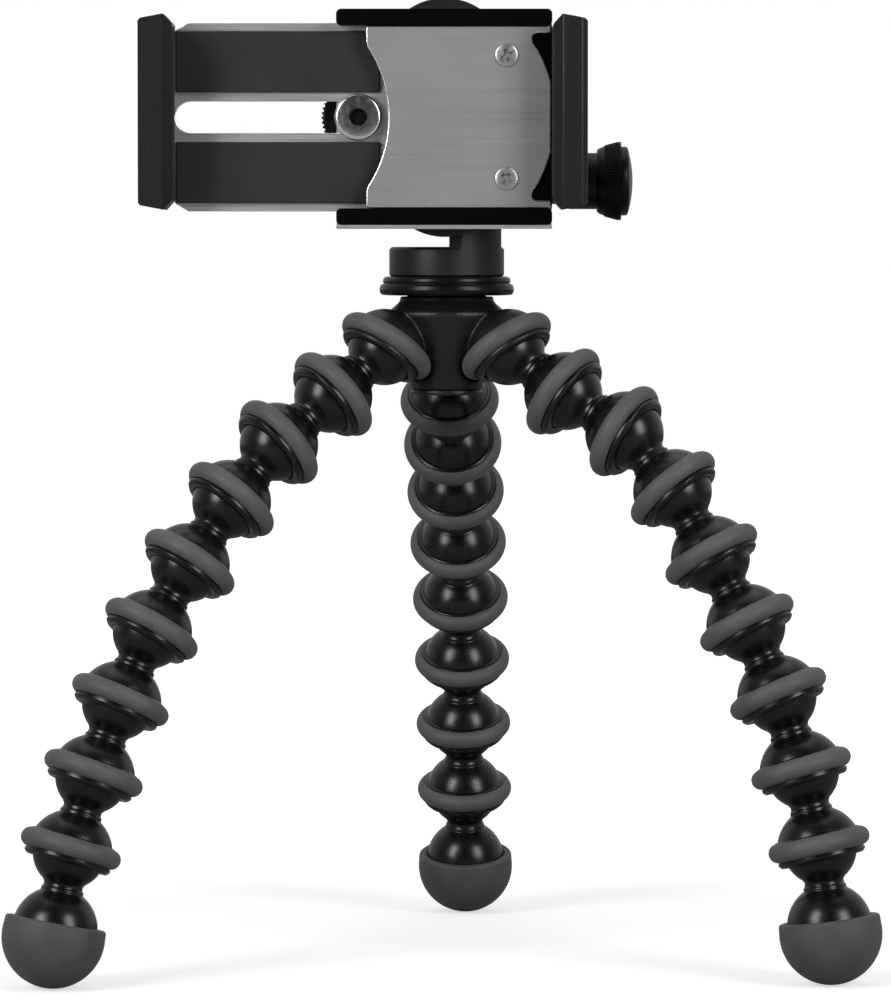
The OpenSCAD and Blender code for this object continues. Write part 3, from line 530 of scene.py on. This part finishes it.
def shellProfile():
    s = legSizes
    mouth = math.degrees(math.asin(s["lipReach"] / s["cavityR"]))
    mouthR = s["cavityR"] * math.cos(math.radians(mouth))
    lip = roundedProfile([
        (s["seatR"] - s["stepIn"], s["seatBack"] - s["stepBack"]), (s["seatR"], s["seatBack"]),
        (s["seatR"], s["lipBase"]), (s["lipR"], s["lipBase"]), (s["lipR"], s["lipReach"] - s["lipChamfer"]),
        (s["lipR"] - s["lipChamfer"], s["lipReach"]), (mouthR + s["mouthFlat"], s["lipReach"]),
        (mouthR, s["lipReach"] - s["mouthDrop"])], s["lipRounds"])
    return linkProfile() + lip + arcPoints(0, 0, s["cavityR"], mouth - s["mouthMeet"], -90, s["cavitySteps"])


def ringProfile():  # the rubber ring: round outside, flat where it grips its seat
    s = legSizes
    crown = s["ringR"] - s["seatR"]
    tube = (s["ringW"] ** 2 / 4 + crown ** 2) / (2 * crown)
    half = math.degrees(math.acos((tube - crown) / tube)) - s["ringMeet"]
    outer = arcPoints(s["ringR"] - tube, -s["ringBack"], tube, -half, half, s["ringSteps"])
    reach, inner = s["ringW"] / 2 - s["ringEdge"], s["seatR"] + snug
    return [(inner, -s["ringBack"] - reach)] + outer + [(inner, -s["ringBack"] + reach)]


linkForm = newObject("linkForm", latheMesh("linkForm", shellProfile(), legSizes["segments"]))
ringForm = newObject("ringForm", latheMesh("ringForm", ringProfile(), legSizes["segments"], closed=True))


def setLink(form, leg, index, name, material):
    x, z = chainPoint(legSlopes[leg], index)
    start = socketSpot(leg)
    carrier = newObject("carrier", bpy.data.meshes.new("carrier"))
    return runTree(carrier, linkTree, {
        "Form": form, "Outwards": x * mm, "Down": z * mm, "Slope": math.radians(legSlopes[leg][index]),
        "Round": legTurn(leg, index), "Material": material,
        "Start": ((hubX + start[0]) * mm, (hubY + start[1]) * mm, hubSizes["socketZ"] * mm)}, name)


for leg, legName in enumerate(legNames):
    for index in range(1, footIndex):
        body, nodes = f"{legName}_link_{index}", [f"leg_{legName}_link_{index}"]
        shell = setLink(linkForm, leg, index, f"{legName}Link{index}", finishes["linkBlack"])
        finishPiece(shell, body, nodes, angle=50)
        ring = setLink(ringForm, leg, index, f"{legName}GripRing{index}", finishes["ringGrey"])
        finishPiece(ring, body, nodes, angle=60)
print("legs linked")


# feet
def footProfile():
    f = footSizes
    start = math.degrees(math.asin(f["reach"] * f["soleShare"] / f["footR"]))
    sole = arcPoints(0, f["reach"], f["footR"], -start, 90, f["soleSteps"])
    inner = legSizes["domeR"] + snug
    rimIn = halfChord(inner, f["rimBack"] - f["rimStep"])
    rim = roundedProfile([
        (rimIn, -f["rimBack"] + f["rimStep"]), (rimIn + f["rimFlat"], -f["rimBack"]),
        (f["rimR"], -f["rimBack"]), sole[0]], f["rimRounds"], steps=6)
    bore = [(r, inner + f["pegLen"]) for r in (0, f["pegR"] + snug)]
    return rim[:-1] + sole + bore + arcPoints(0, 0, inner, *f["cupArc"], f["cupSteps"])


def footBallProfile():
    f, domeR = footSizes, legSizes["domeR"]
    pegMeet = math.degrees(math.acos(f["pegR"] / domeR))
    skin = arcPoints(0, 0, domeR, f["skinStart"], pegMeet, f["skinSteps"])
    end = domeR + f["pegLen"]
    return linkProfile() + skin + [(f["pegR"], end - f["pegEase"]), (f["pegR"] - f["pegEase"], end), (0, end)]


footForm = newObject("footForm", latheMesh("footForm", footProfile(), footSizes["segments"]))
footBallForm = newObject("footBallForm", latheMesh("footBallForm", footBallProfile(), legSizes["segments"]))
for leg, legName in enumerate(legNames):
    ball = setLink(footBallForm, leg, footIndex, f"{legName}FootBall", finishes["linkBlack"])
    finishPiece(ball, f"{legName}_foot", [f"leg_{legName}_foot_ball"], angle=50)
    foot = setLink(footForm, leg, footIndex, f"{legName}Foot", finishes["footGrey"])
    finishPiece(foot, f"{legName}_foot", [f"leg_{legName}_foot"], angle=50)
print("feet made")

# hub
for leg, legName in enumerate(legNames):
    ring = setLink(ringForm, leg, 0, f"{legName}HubRing", finishes["ringGrey"])
    finishPiece(ring, "hub", ["hub_socket_rings"], angle=60)

hubSkin = {"voxel": 0.32, "meltRounds": 4, "flowRounds": 60, "coreR": 7.3, "low": -9.3, "high": 11.9,
           "socketClear": 10.6, "fade": 1.4, "capEdge": 0.35}


def besideSockets(co):  # the hub's skin between its sockets, where neck, shoulder and waist flow together
    x, y, z = co.x / mm - hubX, co.y / mm - hubY, co.z / mm - hubSizes["socketZ"]
    if math.hypot(x, y) < hubSkin["coreR"] or z > hubSkin["high"] or z < hubSkin["low"]:
        return 0.0
    apart = min(math.dist((x, y, z), (*socketSpot(leg), 0.0)) for leg in range(len(legNames)))
    return min(1.0, max(0.0, (apart - hubSkin["socketClear"]) / hubSkin["fade"]))


hubShell = newObject("hubShell", mergedCopy("hub_shell"))   # its forms melt together, as a moulding's do
remesh = hubShell.modifiers.new("skin", "REMESH")
remesh.mode = "VOXEL"
remesh.voxel_size = hubSkin["voxel"] * mm
addSmooth(hubShell, hubSkin["meltRounds"])
hubShell = evaluatedCopy(hubShell, "hubShell")
flow = hubShell.vertex_groups.new(name="flow")
for vertex in hubShell.data.vertices:
    weight = besideSockets(vertex.co)
    if weight > 0:
        flow.add([vertex.index], weight, "REPLACE")
addSmooth(hubShell, hubSkin["flowRounds"], "flow")
hubShell = evaluatedCopy(hubShell, "hubShell")
finishPiece(hubShell, "hub", ["hub_shell"], finishes["hubBlack"], angle=60)
hubCap = softenedNode("hub_base_cap", "hubCap", hubSkin["capEdge"])
finishPiece(hubCap, "hub", ["hub_base_cap"], finishes["hubBlack"])
print("hub made")

# lock ring and mount base
lockSizes = {
    "inner": 9.08, "outer": 16.1, "height": 4.0, "segments": 128, "postEdge": 0.45,
    "bead": [(-1.9, 0.0), (-0.35, 0.1), (0, 1.35), (-0.3, 2.55)],   # from the outer radius
    "waistR": 14.95, "waistZ": 2.75, "lipR": 15.25, "lipZ": 3.3, "lipTop": 4.15, "lipIn": 0.15,
    "collarR": 13.92, "collarTop": 4.55, "collarIn": 0.1, "innerStep": 0.3,
    "rounds": [0.25, 0.4, 1.2, 1.1, 0.9, 0.5, 0.5, 0.6, 0.35, 0.1],
}


def lockRingProfile():  # a low round bead, a smaller one above it and a collar that hides the base's foot
    s = lockSizes
    bead = [(s["outer"] + out, z) for out, z in s["bead"]]
    return roundedProfile([(s["inner"], s["height"]), (s["inner"], 0.0)] + bead + [
        (s["waistR"], s["waistZ"]), (s["lipR"], s["lipZ"]), (s["lipR"] - s["lipIn"], s["lipTop"]),
        (s["collarR"] + s["collarIn"], s["collarTop"]), (s["collarR"], s["height"]),
        (s["inner"] + s["innerStep"], s["height"])], s["rounds"], steps=6)


lockRing = newObject("lockRing", latheMesh("lockRing", lockRingProfile(), lockSizes["segments"], closed=True))
lockRing.data.transform(atHub(lockZ))
finishPiece(lockRing, "lock_ring", ["lock_ring"], finishes["ringBlack"], angle=40)
basePost = softenedNode("base_post", "basePost", lockSizes["postEdge"], steps=4)
finishPiece(basePost, "mount_base", ["base_post"], finishes["headBlack"], angle=40)
print("head made")

# tilt knob
knobSizes = {
    "start": 13.3, "x": 35.8, "len": 5.7, "r": 9.4, "taper": 1.7, "belly": 0.7, "gripLow": 0.15,
    "gripShort": 0.6, "neckR": 6.7, "neckLen": 7.0, "stemR": 5.5, "boreR": 2.54, "collarIn": 0.1,
    "neckRounds": [0.4, 0.25, 0.5, 0.3, 0.25],
    "rim": [(-0.12, -0.36), (0, -0.26), (0, -0.12), (-0.12, 0)],   # from the outer edge
    "capSeat": 0.3, "faceDrop": 0.02, "gripSteps": 12, "segments": 152,
    "ribs": 76, "ribW": 0.4, "ribH": 0.2, "ribRows": [0.3, 0.34, 0.45, 0.6, 0.75, 0.88, 0.96, 1.0],
    "capR": 8.2, "capT": 2.75, "crownR": 27.0, "capFoot": 0.1, "crownSteps": 12, "capSegments": 96,
    "capEdge": [(0, -0.35), (-0.12, -0.1), (-0.45, 0.14)],         # from the edge of the crown
}
ribSizes = {   # the section in shares of a rib's height and width; its ends are lower
    "section": [(-0.15, -0.5), (0.55, -0.42), (1.0, -0.16), (1.0, 0.16), (0.55, 0.42), (-0.15, 0.5)],
    "endTall": 0.35,
}


def gripSpot(share):  # the grip swells from its collar to its rim
    k = knobSizes
    return (k["r"] - k["taper"] * (1 - share ** k["belly"]) - k["ribH"],
            k["x"] + k["gripLow"] + (k["len"] - k["gripShort"]) * share)


def knobProfile():
    k = knobSizes
    low, end, floor = k["x"] - k["neckLen"], k["x"] + k["len"], k["x"] + k["len"] / 2 + snug
    grip = [gripSpot((i + 1) / k["gripSteps"]) for i in range(k["gripSteps"])]
    neck = roundedProfile([
        (k["boreR"], k["start"]), (k["stemR"], k["start"]), (k["stemR"], low), (k["neckR"], low),
        (k["neckR"], k["x"]), (gripSpot(0)[0] - k["collarIn"], k["x"]), grip[0]], k["neckRounds"])
    rim = [(k["r"] + out, end + up) for out, up in k["rim"]]
    face = [(r, end - k["faceDrop"]) for r in (k["capR"] + k["capSeat"], 0)]
    return neck + grip[1:] + rim + face + [(0, floor), (k["boreR"], floor)]


def ribMesh(name, spine, width, height):  # a fine ridge along a spine of (r, z) points, in the plane of +X
    rows = []
    for i, (r, z) in enumerate(spine):
        tall = height * (ribSizes["endTall"] if i in (0, len(spine) - 1) else 1.0)
        rows.append([((r + up * tall) * mm, side * width * mm, z * mm) for up, side in ribSizes["section"]])
    return rowsMesh(name, rows)


knobSpine = [gripSpot(share) for share in knobSizes["ribRows"]]
knobRib = newObject("knobRib", ribMesh("knobRib", knobSpine, knobSizes["ribW"], knobSizes["ribH"]))
knobBody = newObject("knobBody", latheMesh("knobBody", knobProfile(), knobSizes["segments"], closed=True))
knobGrip = runTree(knobBody, knurlTree, {
    "Rib": knobRib, "Count": knobSizes["ribs"], "Material": finishes["knobBlack"]}, "knobGrip")
knobGrip.data.transform(alongTilt(0))
finishPiece(knobGrip, "tilt_knob", ["knob_grip"], angle=40)


def crownZ(r):
    return knobSizes["capT"] - knobSizes["crownR"] + halfChord(knobSizes["crownR"], r)


def capProfile():
    k = knobSizes
    foot = [(0, 0.0), (k["capR"] - k["capFoot"], 0.0), (k["capR"], k["capFoot"])]
    side = [(k["capR"] + out, crownZ(k["capR"]) + up) for out, up in k["capEdge"]]
    crown = [side[-1][0] * (1 - (i + 1) / k["crownSteps"]) for i in range(k["crownSteps"])]
    return foot + side + [(r, crownZ(r)) for r in crown]


knobCap = newObject("knobCap", latheMesh("knobCap", capProfile(), knobSizes["capSegments"]))
knobCap.data.transform(alongTilt(knobSizes["x"] + knobSizes["len"] + snug))
finishPiece(knobCap, "tilt_knob", ["knob_cap"], finishes["knobBlack"], angle=40)
print("tilt knob made")

# bracket and clamp: the pieces that follow the CAD's solids with softened edges
softPieces = [  # node, name, width of the edges, slot, finish, body
    ("hinge_bracket", "hingeBracket", 0.4, "hub_plastic", "headBlack", "holder"),
    ("back_shell", "backWall", 0.25, "slide_steel", "slideSteel", "holder"),
    ("top_rail", "topRail", 0.45, "knob_plastic", "railBlack", "holder"),
    ("bottom_rail", "bottomRail", 0.45, "knob_plastic", "railBlack", "holder"),
    ("core_plate", "corePlate", 0.15, "hub_plastic", "railBlack", "holder"),
    ("fixed_jaw", "fixedJaw", 0.6, "jaw_plastic", "jawBlack", "holder"),
    ("moving_jaw", "movingJaw", 0.6, "jaw_plastic", "jawBlack", "slider"),
    ("fixed_jaw_pad", "fixedJawPad", 0.12, "pad_rubber", "padBlack", "holder"),
    ("moving_jaw_pad", "movingJawPad", 0.12, "pad_rubber", "padBlack", "slider"),
    ("slide_plate", "slidePlate", 0.2, "slide_steel", "slideSteel", "slider"),
    ("slide_pads", "slideStrips", 0.35, "strip_grey", "stripGrey", "slider"),
]
for node, name, width, slotName, finishName, body in softPieces:
    finishPiece(softenedNode(node, name, width), body, [node], finishes[finishName], angle=40)
print("clamp made")

# front plate, with a bright bevel all round its outline
panelSizes = {
    "left": 18.9, "right": 24.4, "height": 42.7, "front": -24.2, "back": -23.44,
    "cornerEase": 1.0, "bevel": 0.3, "bayR": 29.6, "bayX": 13.7, "bayEase": 1.6, "lobeR": 33.3, "lobeX": 25.4,
    "steps": 24, "notchX": 20.1, "notchH": 39.2, "notchRound": 2.3, "notchStep": 1.3,
    "notchRise": 1.6, "notchEase": 0.9, "screwX": 14.0, "screwH": 28.8, "faceOn": 0.99,
}


def panelOutline():  # the upper half from its right end to its left end, and the same mirrored
    p = panelSizes
    top, notch, steps = p["height"] / 2, p["notchH"] / 2, p["steps"]
    lobeMid, bayMid = p["lobeX"] - p["lobeR"], -p["bayX"] - p["bayR"]
    lobeFoot = halfChord(p["lobeR"], p["right"] - lobeMid)
    lobeTop = halfChord(p["lobeR"], p["notchX"] + p["notchStep"] - lobeMid)
    bayTop = halfChord(p["bayR"], -p["left"] - bayMid)
    lobe = [lobeFoot + (lobeTop - lobeFoot) * i / steps for i in range(steps + 1)]
    bay = [bayTop * (1 - i / steps) for i in range(2, steps)]
    half = [(lobeMid + halfChord(p["lobeR"], z), z, 0) for z in lobe]
    half += [(p["notchX"], lobeTop + p["notchRise"], p["notchEase"]), (p["notchX"], notch, p["notchRound"]),
             (p["right"], notch, 0), (p["right"], top, 0), (-p["left"], top, p["cornerEase"]),
             (-p["left"], bayTop, p["bayEase"])]
    half += [(bayMid + halfChord(p["bayR"], z), z, 0) for z in bay]
    return easedOutline(half + [(-p["bayX"], 0, 0)] + [(x, -z, ease) for x, z, ease in reversed(half)])


plateRows = [[inClamp(x, panelSizes[side], z) for x, z in panelOutline()] for side in ("front", "back")]
frontPlate = newObject("frontPlateForm", rowsMesh("frontPlateForm", plateRows))
frontPlate = bevelled(frontPlate, panelSizes["bevel"], 3, "frontPlate")
finishPiece(frontPlate, "holder", ["front_plate"], finishes["panelSteel"], angle=35)
frontPlate.data.materials.append(finishes["edgeSteel"])   # the cut edge and its bevel are left bright
for face in frontPlate.data.polygons:
    face.material_index = 0 if abs(face.normal.y) > panelSizes["faceOn"] else 1
print("front plate made")

# screws: one form each, set on its spots by the fastener tree
panelScrew = {
    "headR": 2.7, "rise": 0.42, "dome": 0.2, "doming": [0, 0.3, 0.55, 0.75, 0.88],
    "rim": [(-0.06, -0.36), (0, -0.22), (0, 0)], "sink": 0.62, "shankR": 1.2, "length": 3.1, "tip": 0.15,
    "crossL": 2.9, "crossW": 0.78, "crossD": 1.05, "pitR": 0.624, "pitD": 1.2075,
    "shadeFrom": -0.5, "spin": 1.2, "seed": 5,
}
bracketScrew = {
    "headR": 2.4, "rise": 0.0, "dome": 0.0, "doming": [0], "rim": [(-0.08, 0), (0, 0.06)],
    "sink": 1.2, "shankR": 1.25, "length": 3.9, "tip": 0.15, "crossL": 2.3, "crossW": 0.55, "crossD": 0.7,
    "pitR": 0.44, "pitD": 0.805, "shadeFrom": 0.1, "spin": 1.5, "seed": 11,
}
bracketSizes = {"x": -0.5, "screwX": 9.0, "screwZs": [5.0, 19.0], "back": -14.22}
screwFacets = {"head": 48, "pit": 12, "slack": 0.05}   # slack: how far past a cross its faces of painted shade may lie
squareR = math.sqrt(0.5)   # from the middle to the corners of a square with sides of 1


def screwForm(name, s):  # its head points along -Z
    profile = [(s["headR"] * t, -s["rise"] - s["dome"] * (1 - t * t)) for t in s["doming"]]
    profile += [(s["headR"] + out, z) for out, z in s["rim"]]
    profile += [(s["shankR"], s["sink"]), (s["shankR"], s["length"] - s["tip"]),
                (s["shankR"] - s["tip"], s["length"]), (0, s["length"])]
    head = newObject(name, latheMesh(name, profile, screwFacets["head"]))
    top = -s["rise"] - s["dome"]
    cutters = []
    for size in ((s["crossL"], s["crossW"]), (s["crossW"], s["crossL"])):
        bar = prong("recess", 4, squareR, top - overshoot, top + s["crossD"], math.pi / 4)
        bar.data.transform(Matrix.Diagonal((*size, 1, 1)))
        cutters.append(bar)
    cutters.append(prong("recessPit", screwFacets["pit"], s["pitR"], top - overshoot, top + s["pitD"]))
    return carved(head, cutters, name)


def paintRecessShade(obj, spots, radius, near, far, side=1):  # paints shade into a recess: its faces from near to far inside the spot take a dark finish
    obj.data.materials.append(finishes["recessDark"])
    dark = len(obj.data.materials) - 1
    for spot in spots:
        for face in obj.data.polygons:
            away = (face.center - inClamp(*spot)) / mm
            if math.hypot(away.x, away.z) < radius and near < side * away.y < far:
                face.material_index = dark


def setScrews(name, node, s, spots, side):  # side is 1 for heads that look forward, -1 for backward
    form = screwForm(name + "Form", s)
    spotMesh = bpy.data.meshes.new("spots")
    spotMesh.from_pydata([inClamp(*spot) for spot in spots], [], [])
    screws = runTree(newObject("spots", spotMesh), fastenerTree, {
        "Form": form, "Turn": (math.radians(-90 * side), 0, 0), "Seed": s["seed"], "Spin": s["spin"],
        "Material": finishes["screwSteel"]}, name)
    bpy.data.objects.remove(form)
    finishPiece(screws, "holder", [node], angle=35)
    # the crosses in the screw heads get painted shade
    paintRecessShade(screws, spots, s["crossL"] / 2 + screwFacets["slack"], s["shadeFrom"], s["sink"], side)


plateSpots = [(panelSizes["screwX"], panelSizes["front"], side * panelSizes["screwH"] / 2)
              for side in (-1, 1)]
setScrews("panelScrews", "plate_screws", panelScrew, plateSpots, 1)
bracketSpots = [(bracketSizes["x"] + side * bracketSizes["screwX"], bracketSizes["back"], z)
                for side in (-1, 1) for z in bracketSizes["screwZs"]]
setScrews("bracketScrews", "bracket_screws", bracketScrew, bracketSpots, -1)
print("screws set")

# clamp bolt with its hexagon socket
boltSizes = {
    "x": 20.8, "headFront": -22.3, "headR": 5.5, "headT": 2.3, "edge": 0.75, "rimZ": 0.125, "backEase": 0.1,
    "face": [(0, 0), (2.475, 0), (3.41, 0.02), (4.5, 0.0875)], "rimArc": (-80, 0), "rimSteps": 8,
    "hexR": 2.1, "hexD": 1.4, "hexTurn": 12, "leadR": 1.974, "leadIn": 0.25, "leadFlare": 1.12,
    "leadOver": 0.02, "shadePast": 0.1, "guideR": 3.45, "guideEnd": -18.04,
    "shankR": 2.5, "end": -7.3, "tip": 0.5, "segments": 96, "leadSegments": 48,
}


def boltProfile():  # z runs back from the head's face
    b = boltSizes
    guide, end = b["guideEnd"] - b["headFront"], b["end"] - b["headFront"]
    rim = arcPoints(b["headR"] - b["edge"], b["rimZ"] + b["edge"], b["edge"], *b["rimArc"], b["rimSteps"])
    return b["face"] + rim + [
        (b["headR"], b["headT"] - b["backEase"]), (b["headR"] - b["backEase"], b["headT"]),
        (b["guideR"], b["headT"]), (b["guideR"], guide), (b["shankR"], guide),
        (b["shankR"], end - b["tip"]), (b["shankR"] - b["tip"], end), (0, end)]


clampBolt = newObject("boltForm", latheMesh("boltForm", boltProfile(), boltSizes["segments"]))
hexCut = prong("hexCut", 6, boltSizes["hexR"], -overshoot, boltSizes["hexD"],
               math.radians(boltSizes["hexTurn"]))
leadIn = prong("leadIn", boltSizes["leadSegments"], boltSizes["leadR"], -boltSizes["leadOver"],
               boltSizes["leadIn"], flare=boltSizes["leadFlare"])
clampBolt = carved(clampBolt, [hexCut, leadIn], "clampBolt")
boltSpot = (-boltSizes["x"], boltSizes["headFront"], 0)
clampBolt.data.transform(facing(*boltSpot))
finishPiece(clampBolt, "holder", ["clamp_bolt"], finishes["chromeSteel"], angle=30)
# the bolt's hexagon socket gets painted shade
paintRecessShade(clampBolt, [boltSpot], boltSizes["hexR"], boltSizes["leadIn"],
         boltSizes["hexD"] + boltSizes["shadePast"])
print("clamp bolt made")

# thumbwheel
wheelSizes = {
    "x": 20.8, "front": -13.9, "r": 8.8, "w": 5.0, "bossR": 4.4, "bossLen": 2.0, "boreR": 2.58,
    "nutR": 4.24, "nutH": 2.6, "dishR": 1.2, "dishFloor": 0.9, "dishD": 0.5,
    "rounds": [0.25, 0.3, 0.5, 0.5, 0.3, 0.3, 0, 0], "segments": 96,
    "ribs": 48, "ribW": 0.62, "ribH": 0.38, "ribEnd": [0.35, 0.7, 1.2],
}


def wheelProfile():  # z runs back from the wheel's front face
    w = wheelSizes
    outer, dish, floor = w["r"] - w["ribH"], w["w"] - w["dishD"], w["w"] - w["nutH"]
    return roundedProfile([
        (w["boreR"], -w["bossLen"]), (w["bossR"], -w["bossLen"]), (w["bossR"], 0.0), (outer, 0.0),
        (outer, w["w"]), (w["nutR"] + w["dishR"], w["w"]), (w["nutR"] + w["dishFloor"], dish),
        (w["nutR"], dish), (w["nutR"], floor), (w["boreR"], floor)], w["rounds"])


ribZs = wheelSizes["ribEnd"] + [wheelSizes["w"] - z for z in reversed(wheelSizes["ribEnd"])]
wheelSpine = [(wheelSizes["r"] - wheelSizes["ribH"], z) for z in ribZs]
wheelRib = newObject("wheelRib", ribMesh("wheelRib", wheelSpine, wheelSizes["ribW"], wheelSizes["ribH"]))
wheelMesh = latheMesh("wheelBody", wheelProfile(), wheelSizes["segments"], closed=True)
thumbwheel = runTree(newObject("wheelBody", wheelMesh), knurlTree, {
    "Rib": wheelRib, "Count": wheelSizes["ribs"], "Material": finishes["knobBlack"]}, "thumbwheel")
thumbwheel.data.transform(facing(-wheelSizes["x"], wheelSizes["front"], 0))
finishPiece(thumbwheel, "thumbwheel", ["thumbwheel"], angle=40)
print("thumbwheel made")

for form in (linkForm, ringForm, footForm, footBallForm, knobRib, wheelRib):
    bpy.data.objects.remove(form)   # what the trees copied isn't a piece itself

# the nodes that stay as the CAD made them
keptNodes = {
    "camera_screw": "screwSteel", "thread_insert": "insertBrass", "base_pad": "padBlack",
    "tilt_screw": "screwSteel", "hinge_nut": "screwSteel", "jaw_rivets": "screwSteel",
    "wheel_nut": "screwSteel",
}
for node, finishName in keptNodes.items():
    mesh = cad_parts[node].data
    mesh.materials.clear()
    mesh.materials.append(finishes[finishName])
print("small hardware finished")

# floor, light and backdrop, in metres
studio = {
    "floor": 6.0, "floorZ": -0.0002, "floorRough": 0.9, "floorGleam": 0.1,
    "floorPale": 0.64, "floorBounce": 0.38, "nearGlow": 0.6, "farGlow": 1.0, "nearR": 0.13, "farR": 0.32,
    "worldLight": 0.12, "frontDark": 0.02, "behindBright": 0.6, "frontEnd": -0.35, "behindStart": 0.45,
    "lampAim": (0, 0, 0.12),
}
lamps = [  # name, place, width, height, watts
    ("keyLeft", (-0.75, -0.85, 0.55), 0.42, 0.7, 9.5),
    ("keyRight", (0.75, -0.85, 0.5), 0.42, 0.7, 8.075),
    ("topSoft", (0, 0.1, 1.3), 1.2, 1.0, 3.2),
]
white = (1, 1, 1, 1)
corners = [(x * studio["floor"] / 2, y * studio["floor"] / 2, studio["floorZ"])
           for x, y in ((-1, -1), (1, -1), (1, 1), (-1, 1))]
floorMesh = bpy.data.meshes.new("floor")
floorMesh.from_pydata(corners, [], [(0, 1, 2, 3)])
floor = newObject("floor", floorMesh)
floorMaterial = bpy.data.materials.new("paleFloor")
floorMaterial.use_nodes = True
tree = floorMaterial.node_tree
matte = tree.nodes["Principled BSDF"]
matte.inputs["Roughness"].default_value = studio["floorRough"]
matte.inputs["Specular IOR Level"].default_value = studio["floorGleam"]
seen = addNode(tree, "ShaderNodeLightPath", {}).outputs["Is Camera Ray"]
# pale to the camera, darker for the light that it throws back up
pale = addRange(tree, seen, studio["floorBounce"], studio["floorPale"], 0, 1)
tree.links.new(pale, matte.inputs["Base Color"])
spot = addNode(tree, "ShaderNodeTexCoord", {})
away = addNode(tree, "ShaderNodeVectorMath", {0: spot.outputs["Object"]}, "LENGTH").outputs["Value"]
# past the shadows the floor is as white as the backdrop
fade = addRange(tree, away, studio["nearGlow"], studio["farGlow"], studio["nearR"], studio["farR"])
shown = addNode(tree, "ShaderNodeMath", {0: seen, 1: fade}, "MULTIPLY")
glow = addNode(tree, "ShaderNodeEmission", {"Color": white, "Strength": shown.outputs[0]})
both = addNode(tree, "ShaderNodeAddShader", {0: matte.outputs["BSDF"], 1: glow.outputs["Emission"]})
tree.links.new(both.outputs["Shader"], tree.nodes["Material Output"].inputs["Surface"])
floorMesh.materials.append(floorMaterial)

for name, place, width, height, watts in lamps:
    lampData = bpy.data.lights.new(name, "AREA")
    lampData.shape = "RECTANGLE"
    lampData.size, lampData.size_y = width, height
    lampData.energy = watts
    lamp = bpy.data.objects.new(name, lampData)
    bpy.context.scene.collection.objects.link(lamp)
    lamp.location = place
    lamp.rotation_euler = (Vector(studio["lampAim"]) - Vector(place)).to_track_quat("-Z", "Y").to_euler()

world = bpy.data.worlds.new("studio")
bpy.context.scene.world = world
world.use_nodes = True
tree = world.node_tree
dim = tree.nodes["Background"]
dim.inputs["Color"].default_value = white
dim.inputs["Strength"].default_value = studio["worldLight"]
rays = addNode(tree, "ShaderNodeLightPath", {}).outputs
direction = addNode(tree, "ShaderNodeTexCoord", {})
split = addNode(tree, "ShaderNodeSeparateXYZ", {0: direction.outputs["Generated"]})
# gloss sees the pale backdrop behind and a dim room in front
behind = addRange(tree, split.outputs["Y"], studio["frontDark"], studio["behindBright"],
                  studio["frontEnd"], studio["behindStart"])
gloss = addNode(tree, "ShaderNodeBackground", {"Color": white, "Strength": behind})
glossy = addNode(tree, "ShaderNodeMath", {
    0: rays["Is Glossy Ray"], 1: rays["Is Transmission Ray"]}, "MAXIMUM")
mixGloss = addNode(tree, "ShaderNodeMixShader", {
    "Fac": glossy.outputs[0], 1: dim.outputs[0], 2: gloss.outputs[0]})
backdrop = addNode(tree, "ShaderNodeBackground", {"Color": white, "Strength": 1.0})   # what the camera sees
mixWorld = addNode(tree, "ShaderNodeMixShader", {
    "Fac": rays["Is Camera Ray"], 1: mixGloss.outputs[0], 2: backdrop.outputs[0]})
tree.links.new(mixWorld.outputs[0], tree.nodes["World Output"].inputs["Surface"])
print("studio set")
